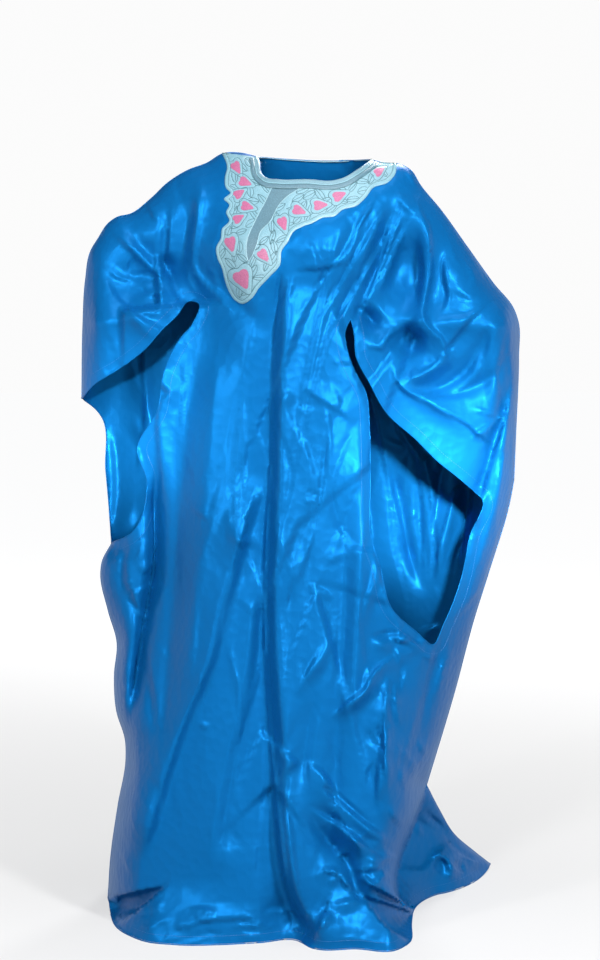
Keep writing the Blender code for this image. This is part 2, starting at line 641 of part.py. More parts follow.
def back_sheet():
    stretches = (
        ("joined", RIDGE_LEFT), ("free", RIM_LEFT), ("joined", SIDE_LEFT), ("hem", HEM_BACK),
        ("joined", TRAIN_SIDE), ("joined", SIDE_RIGHT_LOW), ("joined", SIDE_RIGHT_UP), ("free", NECK_BACK))
    return Sheet(stretches, (), BACK_FOLDS, DepthTable(BACK_DROP, BACK_DEPTH), 1, BACK_GRID_STEP)


def binding_lines(neck):
    """The neck edge and the line that ends the binding, both cut where the joined edges begin."""
    edge = soft_line(neck, 13.0)
    inner = offset_line(edge, BINDING_WIDTH)
    inner[0] += inner[0] - inner[1]
    inner[-1] += inner[-1] - inner[-2]
    return edge, inner


def main():
    clear_scene()
    materials = {name: make_material(name) for name in COLOURS}
    front = front_sheet()
    back = back_sheet()
    neck_front, inner_front = binding_lines(NECK_FRONT)
    neck_back, inner_back = binding_lines(NECK_BACK)
    applique = soft_line(APPLIQUE, 9.0)
    placket = np.array(PLACKET, float)
    petals = [petal_loop(petal) for petal in PETALS]
    front.build(petals + [placket], [inner_front, applique])
    back.build([], [inner_back])
    slab("front_panel", front, front.triangles, -CLOTH_WALL, 0.0, materials["blue_cloth"])
    slab("back_panel", back, back.triangles, -CLOTH_WALL, 0.0, materials["blue_cloth"])
    middle = front.flat[front.triangles].mean(axis=1)
    yoke = inside(middle, np.vstack((applique, neck_front)))
    top = TOP_LIFT + TRIM_WALL
    slab("neck_applique", front, front.triangles[yoke], TRIM_LIFT, TRIM_LIFT + TRIM_WALL, materials["aqua_applique"])
    chosen = inside(middle, placket)
    slab("neck_placket", front, front.triangles[chosen], TOP_LIFT, top, materials["grey_teal_placket"])
    chosen = inside(middle, band_loop(neck_front, inner_front))
    slab("neck_binding_front", front, front.triangles[chosen], TOP_LIFT, top, materials["teal_binding"])
    middle_back = back.flat[back.triangles].mean(axis=1)
    chosen = inside(middle_back, band_loop(neck_back, inner_back))
    slab("neck_binding_back", back, back.triangles[chosen], TRIM_LIFT, top, materials["teal_binding"])
    for index, loop in enumerate(petals):
        chosen = inside(middle, loop)
        name = "petal_%02d" % (index + 1)
        slab(name, front, front.triangles[chosen], TOP_LIFT, top, materials["pink_petal"])


main()
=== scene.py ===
"""Looks for a grand boubou robe: polished blue cloth in its hollow worn pose, with an applique yoke.

The cloth is two fine shells, front and back, that follow the CAD panels' own tables and carry
finer creases. Tables are in millimetres: x to the right, drop downward from the hold point,
y away from the front. The lamps, CAMERA_X, FLOOR_SIZE and the flat sizes are in metres.
"""

import json
import math

import bpy
import numpy as np
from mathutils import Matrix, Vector, noise
from mathutils.geometry import delaunay_2d_cdt

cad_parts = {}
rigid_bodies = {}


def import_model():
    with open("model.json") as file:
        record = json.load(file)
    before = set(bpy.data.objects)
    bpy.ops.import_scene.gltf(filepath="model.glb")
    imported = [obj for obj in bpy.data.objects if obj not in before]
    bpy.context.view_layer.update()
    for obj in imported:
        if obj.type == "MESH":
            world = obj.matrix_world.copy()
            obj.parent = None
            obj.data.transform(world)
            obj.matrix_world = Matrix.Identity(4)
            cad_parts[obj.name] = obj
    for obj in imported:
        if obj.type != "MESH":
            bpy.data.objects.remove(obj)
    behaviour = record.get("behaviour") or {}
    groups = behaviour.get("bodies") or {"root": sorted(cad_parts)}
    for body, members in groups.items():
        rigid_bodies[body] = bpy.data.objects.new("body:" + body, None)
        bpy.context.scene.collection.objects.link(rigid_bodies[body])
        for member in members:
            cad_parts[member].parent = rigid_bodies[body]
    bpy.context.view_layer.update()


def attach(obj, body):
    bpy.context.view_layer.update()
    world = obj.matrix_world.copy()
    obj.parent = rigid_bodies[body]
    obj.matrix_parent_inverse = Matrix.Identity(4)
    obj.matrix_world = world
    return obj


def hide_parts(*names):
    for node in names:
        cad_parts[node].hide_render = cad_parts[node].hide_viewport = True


MM = 0.001
TINY = 1.0e-12
FAR = 1.0e9

# Where the tables are seen from, and the floor below.
VIEW_DISTANCE = 4200.0
EYE_HEIGHT = -330.0
FLOOR_HEIGHT = -1413.4
FLOOR_LIFT = 2.0
FLOOR_FROM = 1200.0
LEAST_FALL = 1.0

# How the sheets round off where they are joined and turned, how the hem settles, and how far in
# front of or behind the joined edge the sheets stay.
SEAM_GAP = 0.3
SIDE_ROLL = 60.0
TURN_ROLL = 55.0
TURN_STRIP = 3.0
TURN_ABOVE = 40.0
TAIL_ROLL = 40.0
HEM_REACH = 130.0
HEM_EDGE = 50.0
HEM_CORNER = 30.0
FRONT_CLEAR = 8.0
BACK_CLEAR = 12.0

# The train: where it begins, its depth and slope there, and how near it comes to the joined edge.
TRAIN_START = (150.0, 1120.0)
TRAIN_SOFT = 60.0
TRAIN_DEPTH = 80.0
TRAIN_SLOPE = 1.2
TRAIN_FROM = 200.0
TRAIN_CLEAR = 30.0
TRAIN_CLOSER = 4.0

# Spacing of the meshes' points, and how clear of one another they stay. LAST_CELL keeps a
# reading inside its table.
TABLE_STEP = 10.0
LAST_CELL = 1.001
EDGE_STEP = 6.0
GRID_STEP = 4.3
GRID_CLEAR = 2.8
ROW_SHARE = math.sqrt(0.75)
RINGS = (0.7, 2.2, 4.6, 8.0, 12.0, 16.0)
TURN_RINGS = (-9.0, -4.0, -1.0, TURN_STRIP)
RING_APART = 0.93
RING_FREE = 0.9
CREST_STEP = 4.5
CREST_CLEAR = 6.0
CHUNK = 12
SHORTEST_STEP = 1.0e-9
SHORTEST_RUN = 3
BOUND_SLACK = 1.0e-6
MERGE_GAP = 1.0e-4
LEAST_AREA = 1.0

# Folds and creases: how they are read, how they differ from their tables, and how they fade
# toward the edges, the hem and the calm part under the yoke.
FOLD_STEP = 24.0
FOLD_FADE = 110.0
FOLD_EDGE = 26.0
FOLD_SOFT = 3.0
FOLD_POWER = 1.2
FOLD_TALLER = 1.12
FADE_SHARE = 0.45
CREASE_STEP = 14.0
CREASE_FADE = 70.0
CREASE_EDGE = 9.0
CREASE_POWER = 1.3
CREASE_TALLER = 1.35
CREASE_WIDER = 1.8
CREASE_NARROWER = 0.75
CREST_SOFT = 2.2
HEM_CREASES = 0.35
CALM_EDGE = 14.0
CALM_STEP = 8.0

# Crumples: the range of their widths, and the shares of length, bend and height that vary.
SHARP_SIDE = (2.5, 5.5)
SOFT_SIDE = (11.0, 30.0)
CRUMPLE_LENGTH = (0.5, 1.3)
CRUMPLE_BEND = 0.35
CRUMPLE_HEIGHT = (0.45, 1.2)
FRONT_SEED = 11
BACK_SEED = 23

# Facets: the flat planes that the stiff cloth falls into.
FACET_TRIES = 5000
FACET_SEED = 12
FACET_EDGE = 9
FACET_SIZE = (62.0, 170.0)
FACET_SHARE = 0.14
FACET_STRONG = 0.6
FACET_LEAST = 0.01
FACET_CALM = 60.0
FACET_FROM_SEAM = (8.0, 80.0)
FACET_FROM_HEM = (150.0, 200.0)
FACET_FROM_TURN = (6.0, 50.0)
FACET_SOFTEN = ((0, 0), (5, 0), (-5, 0), (2.5, 4.5), (-2.5, 4.5), (2.5, -4.5), (-2.5, -4.5))
SWAY_HEIGHT = 5.0
SWAY_SIZE = (45, 60)
SWAY_SEED = 2.5
# Places where the facets are stronger and smaller: x, drop, reach, and their size across and down.
FACET_ZONES = (
    (-320, 240, 150, 66, 70), (150, 1330, 130, 34, 34), (-200, 1420, 130, 46, 30),
    (300, 700, 130, 30, 90), (-340, 780, 140, 30, 80))

# Hems, stitches and seams.
HEM_DEPTH = 17.0
HEM_CORD = 1.3
HEM_SINK = -0.4
HEM_AROUND = (0, 60, 120, 180, 240, 300, 360)
SEAM_RADIUS = 0.8
SEAM_SIDES = 6
STITCH_LENGTH = 3.4
STITCH_GAP = 1.7
STITCH_POINTS = 3
STITCH_RADIUS = 0.42
STITCH_LIFT = 0.12
CORD_AROUND = (-20, 35, 90, 145, 200)
PROBE_STEP = 0.6
LEAST_FACING = -0.05

# The yoke and the placket: their grids, the raised satin edge, the puffs between the stitched
# lines, and how far the leaves and the cells stay from the outline.
YOKE_LIFT = 1.4
YOKE_GRID = 1.7
OUTLINE_STEP = 2.2
SATIN_EDGE = 7.0
SATIN_MIDDLE = 3.4
SATIN_HALF = 3.6
SATIN_TALL = 1.1
PUFF_TALL = 0.9
PUFF_REACH = 1.6
RIM_SINK = 1.2
RIM_WIDTH = 0.05
YOKE_CORD = (0.62, YOKE_LIFT + 0.15)
LEAF_MARGIN = 7.5
CELL_MARGIN = 7.0
PLACKET_STEP = 2.4
PLACKET_LIFT = YOKE_LIFT - 0.1
PLACKET_CORD = (0.8, YOKE_LIFT + 0.3)
PATCH_ROWS = 0.87
PATCH_CLEAR = 0.6

# Petals: their growth over the CAD patches, their outline, and how they are domed.
PETAL_GROW = 1.12
PETAL_COUNT = 40
PETAL_GRID = 1.6
PETAL_LOBES = 0.10
PETAL_DENT = 0.16
PETAL_DENT_WIDTH = 0.35
PETAL_TAPER = 0.32
PETAL_LIFT = YOKE_LIFT + 0.7
PETAL_DOME = 0.9
PETAL_RIPPLE = 0.18
PETAL_WAVE = (2.4, 1.3)
CELL_GROW = 1.75
CELL_COUNT = 60

# Leaves: how they are spread over the yoke, and their shape.
LEAF_TRIES = 1500
LEAF_SEED = 5
LEAF_SPACING = 16.0
LEAF_FROM_EDGE = 11
LEAF_SPAN = 3
LEAF_LENGTH = (22, 32)
LEAF_WIDTH = (9, 14)
LEAF_LEAN = (20, 50)
LEAF_POINTS = 15
LEAF_POWER = 0.8
VEIN_BEND = 0.06
VEIN_WAVE = 6

# The neck: its band and stripe, each as distances from the cut edge and how far it lifts there.
NECK_STEP = 2.0
NECK_OVERLAP = 2.0
BINDING_WIDTH = 9.0
BAND_PROFILE = ((0.8, -2.6), (-0.7, -1.4), (-0.8, 0.4), (0.3, 1.9), (2.6, 2.5), (5.0, 2.4), (7.4, 2.1),
                (8.8, 1.5), (9.2, 0.2))
STRIPE_PROFILE = ((8.6, 0.6), (9.0, 2.2), (11.0, 2.9), (13.5, 3.0), (16.0, 2.8), (17.2, 2.0), (17.4, 0.6))
STRIPE_RIMS = (9.3, 17.6)
RIM_CORD = (0.55, YOKE_LIFT + 1.0)

# The studio. Area lamps: name, place, aim, width and height, power.
LAMPS = (
    ("key", (1.8, -3.1, 1.1), (0, 0, -0.6), (0.35, 1.8), 230),
    ("side", (-2.2, -2.6, 0.8), (0, 0, -0.7), (0.25, 1.6), 62),
    ("front", (-0.7, -3.4, 2.0), (0, 0, -0.7), (0.5, 1.0), 135),
    ("top", (0.2, -0.4, 2.4), (0, 0, -0.4), (1.4, 0.8), 30),
    ("back", (0.9, 3.0, 2.4), (0, 0, -0.7), (0.7, 1.2), 120),
)
# Narrow lamps: name, place, aim, angle in degrees, power.
SPOTS = (
    ("right_sleeve_spot", (0.55, -3.9, 0.2), (0.245, 0.15, -0.64), 6.0, 3900),
    ("left_sleeve_spot", (-0.5, -4.1, -0.1), (-0.325, 0.1, -0.53), 4.5, 2600),
)
SPOT_BLEND = 0.8
SPOT_RADIUS = 0.12
# The world's colours: height of the direction, brightness.
WORLD_RAMP = ((0.17, (0.97, 0.97, 0.97, 1)), (0.27, (0.05, 0.06, 0.08, 1)))
FLOOR_SIZE = 40
LENS = 82.9
SENSOR_WIDTH = 36.0
CAMERA_SHIFT = -0.1472
CAMERA_X = -0.0095

# Satins: key, name, colour, roughness, grain.
SATINS = (
    ("aqua", "aqua_satin", (0.13, 0.25, 0.30), 0.42, 900),
    ("pale", "pale_aqua_thread", (0.17, 0.29, 0.335), 0.45, 900),
    ("stitch", "dark_teal_thread", (0.03, 0.09, 0.11), 0.55, 900),
    ("placket", "grey_teal_satin", (0.062, 0.128, 0.165), 0.45, 500),
    ("band", "neck_satin", (0.10, 0.19, 0.235), 0.40, 700),
    ("pink", "pink_satin", (0.27, 0.075, 0.155), 0.45, 600),
    ("thread", "blue_thread", (0.002, 0.10, 0.30), 0.5, 900),
)
# Where a satin's colour ramp turns, and the share of the colour there.
SATIN_RAMP = ((0.3, 0.72), (0.7, 1.15))
# The blue cloth: its roughness, and the range over which its polish varies.
CLOTH_ROUGH = 0.37
SMOOTHEST = 0.30
ROUGHEST = 0.46

RIDGE_LEFT = (
    (-89, -15, 30), (-124, -23, 42), (-155, -22, 46), (-186, -4, 50), (-223, 10, 50), (-260, 33, 50),
    (-293, 64, 50), (-332, 93, 45), (-357, 99, 45), (-374, 111, 45), (-392, 138, 42), (-407, 163, 40),
    (-417, 218, 40), (-422, 306, 40), (-424, 443, 45))
NOTCH_LEFT = (
    (-424, 443), (-407, 422), (-349, 384), (-302, 347), (-274, 315), (-245, 287), (-218, 258),
    (-203, 262), (-215, 304), (-236, 329), (-268, 395), (-280, 466), (-318, 540), (-300, 600),
    (-334, 703), (-367, 718))
RIM_LEFT = (
    (-424, 443), (-395, 466), (-388, 475), (-378, 580), (-370, 674), (-367, 718))
SIDE_LEFT = (
    (-367, 718, 40), (-386, 756, 40), (-388, 772, 40), (-374, 846, 40), (-357, 908, 42), (-362, 969, 46),
    (-358, 1036, 50), (-341, 1094, 55), (-340, 1127, 60), (-355, 1216, 68), (-369, 1315, 80),
    (-374, 1391, 88.7))
HEM_FRONT = (
    (-374, 1391), (-360, 1446), (-316, 1472), (-247, 1482), (-162, 1482), (-86, 1478), (-12, 1475),
    (11, 1487), (95, 1490), (180, 1489), (200, 1475), (202, 1440), (206, 1417), (249, 1387),
    (268, 1383), (346, 1340), (353, 1328))
HEM_BACK = (
    (-374, 1391), (-361, 1358), (-276, 1343), (-104, 1332), (86, 1317), (218, 1314), (310, 1318),
    (353, 1328))
TRAIN_SIDE = ((353, 1328, 359.4), (322, 1304, 290), (282, 1269, 200), (256, 1226, 130), (231, 1178, 60))
SIDE_RIGHT_LOW = (
    (231, 1178, 60), (285, 998, 50), (322, 860, 50), (349, 774, 50), (390, 636, 60), (397, 598, 60))
SIDE_RIGHT_UP = (
    (397, 598, 60), (400, 522, 60), (406, 363, 52), (405, 297, 50), (397, 274, 46), (359, 226, 30),
    (308, 155, 10), (257, 84, -10), (219, 38, -20), (201, 10, -25), (178, -2, -24), (155, -3, -20),
    (126, -10, -10))
NECK_FRONT = (
    (126, -10), (97, 11), (70, 26), (53, 30), (4, 28), (-51, 28), (-75, 24), (-84, 15), (-86, -2),
    (-89, -15))
NECK_BACK = ((126, -10), (76, -8), (19, -8), (-38, -11), (-89, -15))
HOLE_RIGHT = (
    (87, 291), (94, 323), (97, 363), (123, 414), (154, 469), (211, 521), (253, 563), (293, 595),
    (323, 621), (336, 633), (314, 703), (298, 783), (276, 846), (264, 872), (243, 912), (211, 887),
    (165, 844), (141, 758), (128, 721), (124, 602), (122, 496), (116, 435), (95, 393), (80, 352),
    (76, 314))
TURN_LINE = (
    (231, 1178, 60), (220, 1215, 30), (205, 1255, 0), (182, 1313, -50), (172, 1358, -80),
    (177, 1390, -62), (206, 1417, -14))

DEPTH_X = (-440, -300, -200, -100, 0, 100, 200, 300, 420)
FRONT_DROP = (-30, 0, 70, 140, 250, 350, 450, 600, 800, 1000, 1200, 1500)
FRONT_DEPTH = (
    (20, 15, 0, -35, -50, -60, -50, -20, 10),
    (20, 10, -10, -50, -70, -80, -60, -30, 10),
    (10, -10, -50, -95, -122, -122, -95, -55, -15),
    (-10, -35, -75, -140, -168, -160, -105, -75, -35),
    (-30, -65, -70, -150, -172, -152, -85, -92, -55),
    (-55, -92, -95, -160, -177, -165, -112, -112, -72),
    (-55, -75, -115, -167, -182, -170, -115, -102, -72),
    (-30, -50, -135, -177, -187, -177, -115, -85, -55),
    (-15, -85, -155, -192, -202, -192, -132, -65, -25),
    (-30, -125, -185, -212, -222, -212, -152, -65, -10),
    (-60, -155, -205, -227, -237, -227, -172, -70, 0),
    (-100, -185, -225, -243, -248, -243, -195, -70, 0))
BACK_DROP = (-30, 0, 140, 350, 600, 1000, 1400)
BACK_DEPTH = (
    (70, 70, 75, 80, 88, 85, 60, 50, 70),
    (72, 75, 80, 88, 95, 90, 65, 60, 75),
    (95, 115, 135, 150, 155, 150, 130, 115, 100),
    (120, 150, 160, 168, 170, 168, 165, 160, 130),
    (115, 150, 180, 192, 198, 196, 190, 170, 140),
    (125, 180, 220, 242, 252, 252, 250, 240, 200),
    (150, 235, 272, 292, 305, 315, 330, 360, 380))

# Each fold: name, path, width on its left, width on its right, height toward the outside,
# and, where one of them does, whether its start and its end stay full instead of fading out.
FRONT_FOLDS = (
    ("left sleeve ridge", ((-396, 300), (-305, 285), (-232, 268)), 42, 42, 30, 1, 0),
    ("right sleeve ridge", ((390, 310), (260, 300), (120, 285)), 58, 50, 30, 1, 0),
    ("centre valley", ((-44, 209), (-63, 352), (-70, 589), (-80, 902), (-65, 1106), (-34, 1396), (11, 1484)),
     34, 9, -24, 0, 1),
    ("centre overlap", ((-19, 218), (-38, 352), (-46, 589), (-53, 902), (-36, 1106), (-6, 1396), (38, 1488)),
     12, 50, 18, 0, 1),
    ("left facet edge", ((-101, 580), (-124, 712), (-177, 931), (-234, 1054), (-291, 1210), (-323, 1340)),
     60, 14, 12),
    ("middle facet edge", ((-89, 750), (-114, 1047), (-148, 1239), (-163, 1368)), 40, 16, 12),
    ("left slit", ((-279, 551), (-285, 636), (-287, 756), (-304, 863), (-327, 1016), (-336, 1092)),
     10, 13, -42),
    ("left side ridge", ((-348, 808), (-340, 978), (-321, 1130), (-332, 1320)), 26, 20, 12),
    ("left side trough", ((-203, 342), (-224, 484), (-241, 674), (-256, 902), (-276, 1130)), 22, 22, -14),
    ("left thigh ridge", ((-165, 332), (-186, 598), (-209, 826), (-238, 1016)), 30, 34, 14),
    ("right side ridge", ((101, 484), (108, 674), (99, 902), (86, 1092)), 30, 14, 14),
    ("right thigh trough", ((70, 580), (74, 826), (59, 1092), (48, 1358)), 28, 24, -14),
    ("hem turn valley", ((0, 1210), (25, 1264), (76, 1317), (106, 1408)), 14, 18, -24),
    ("hem turn ridge", ((48, 1188), (89, 1279), (134, 1328), (160, 1325)), 16, 16, 18),
    ("slit fan long", ((180, 937), (133, 960), (116, 998), (40, 1058)), 8, 10, 8),
    ("slit fan short", ((66, 874), (40, 920), (-21, 1011)), 8, 10, 7),
    ("crumple column", ((165, 940), (154, 1016), (150, 1130), (165, 1264)), 20, 14, 16),
    ("slit lip", ((127, 722), (142, 788), (177, 874), (226, 938)), 10, 14, 10),
    ("right side trough", ((272, 874), (241, 960), (222, 1074), (203, 1188)), 16, 14, -13),
    ("left shoulder ridge", ((-188, 6), (-198, 66), (-207, 142), (-213, 184)), 10, 14, 12),
    ("left shoulder trough", ((-207, 38), (-222, 114), (-234, 200), (-238, 246)), 14, 12, -14),
    ("left sleevepit", ((-262, 160), (-257, 205), (-246, 240)), 18, 16, -22),
    ("below applique", ((-177, 184), (-150, 234), (-108, 284), (-74, 330)), 18, 16, -12),
    ("bust swell", ((-32, 184), (6, 158), (51, 162), (82, 192)), 26, 34, 10),
    ("right fan inner", ((150, 50), (116, 100), (80, 184), (48, 266)), 11, 12, 10),
    ("right fan middle", ((165, 28), (141, 95), (110, 184), (88, 270)), 11, 13, 13),
    ("right fan outer", ((180, 48), (163, 124), (137, 210), (116, 270)), 11, 12, 12),
    ("right armpit", ((196, 90), (184, 150), (166, 215), (150, 270)), 20, 20, -24),
    ("right sleeve crease", ((220, 42), (215, 86), (232, 133), (236, 190), (228, 256), (228, 304),
                             (251, 323), (268, 363)), 24, 12, 12),
    ("swag lip", ((268, 363), (256, 382), (239, 391), (218, 401), (200, 407), (173, 403)), 16, 10, 12),
    ("swag hollow", ((165, 332), (203, 355), (238, 348)), 18, 20, -18),
    ("hem parallel ridge", ((158, 390), (179, 415), (209, 438), (238, 456), (296, 495), (327, 530)),
     12, 12, 12),
    ("sleeve bend swag", ((390, 352), (360, 398), (320, 422), (276, 438), (241, 440)), 16, 12, -14),
    ("flap edge valley", ((388, 388), (374, 456), (352, 549), (334, 612)), 10, 11, -28, 0, 1),
    ("outer band", ((390, 470), (382, 542), (362, 636), (337, 732), (306, 840)), 11, 15, 14),
    ("left sleeve bend crease", ((-360, 122), (-335, 155), (-294, 196), (-262, 226)), 9, 10, 11),
    ("left sleeve bend trough", ((-350, 104), (-318, 145), (-280, 186), (-255, 214)), 8, 9, -10),
    ("left cuff crease", ((-345, 262), (-323, 290), (-300, 318), (-282, 338)), 9, 10, 9),
)
BACK_FOLDS = (
    ("cavity fold near", ((150, 522), (177, 618), (203, 750), (228, 826)), 12, 16, 22),
    ("cavity fold inner", ((213, 557), (218, 636), (229, 750), (234, 826)), 9, 9, 16),
    ("cavity fold outer", ((291, 598), (270, 694), (249, 808)), 10, 12, -14),
    ("sleeve back left", ((-360, 330), (-310, 430), (-280, 560), (-276, 700)), 22, 22, 16),
    ("sleeve back right", ((330, 330), (300, 480), (310, 640), (290, 800)), 22, 24, 18),
    ("shoulder back left", ((-150, 30), (-120, 200), (-110, 420), (-130, 700)), 26, 30, 16),
    ("shoulder back right", ((130, 30), (100, 220), (96, 460), (110, 720)), 28, 24, 16),
    ("back centre", ((-10, 60), (6, 400), (-8, 800), (10, 1290)), 34, 26, 18, 0, 1),
    ("back valley left", ((-60, 300), (-70, 700), (-62, 1290)), 20, 26, -16, 0, 1),
    ("back valley right", ((70, 300), (60, 700), (80, 1290)), 26, 20, -16, 0, 1),
    ("back far left", ((-240, 560), (-250, 900), (-290, 1300)), 26, 30, 20, 0, 1),
    ("back left trough", ((-180, 500), (-190, 860), (-210, 1300)), 22, 22, -18, 0, 1),
    ("back left ridge", ((-130, 760), (-140, 1000), (-150, 1300)), 22, 26, 16, 0, 1),
    ("back right ridge", ((150, 760), (160, 1000), (190, 1290)), 26, 22, 20, 0, 1),
    ("back right trough", ((200, 860), (215, 1040), (240, 1280)), 18, 18, -14, 0, 1),
)

APPLIQUE = (
    (-158, -24), (-148, 6), (-152, 23), (-150, 44), (-142, 53), (-154, 65), (-144, 76), (-150, 90),
    (-144, 106), (-158, 122), (-160, 139), (-169, 158), (-167, 175), (-158, 196), (-152, 220), (-144, 241),
    (-132, 258), (-118, 264), (-104, 256), (-86, 232), (-66, 211), (-48, 190), (-44, 162), (-34, 148),
    (-21, 126), (-6, 118), (15, 110), (32, 101), (57, 97), (70, 86), (97, 78), (116, 61), (129, 44),
    (158, 33), (171, 18), (175, -4))
PLACKET = (
    (-62, 42), (-8, 43), (-34, 61), (-50, 78), (-66, 108), (-84, 127), (-92, 154), (-107, 182),
    (-111, 154), (-93, 104), (-74, 68))
# Petal patches: x, drop, length, width, angle in degrees.
PETALS = (
    (-130, 6, 22, 14, 60), (-114, 34, 22, 14, 20), (-125, 56, 20, 13, -35), (-110, 80, 22, 14, 15),
    (-126, 103, 20, 13, -30), (-140, 150, 26, 17, 75), (-78, 172, 25, 15, 50), (-118, 216, 34, 24, 65),
    (-42, 112, 24, 15, 70), (-12, 88, 24, 15, 20), (28, 78, 24, 15, -5), (64, 60, 24, 15, -25),
    (140, 14, 20, 13, -35))

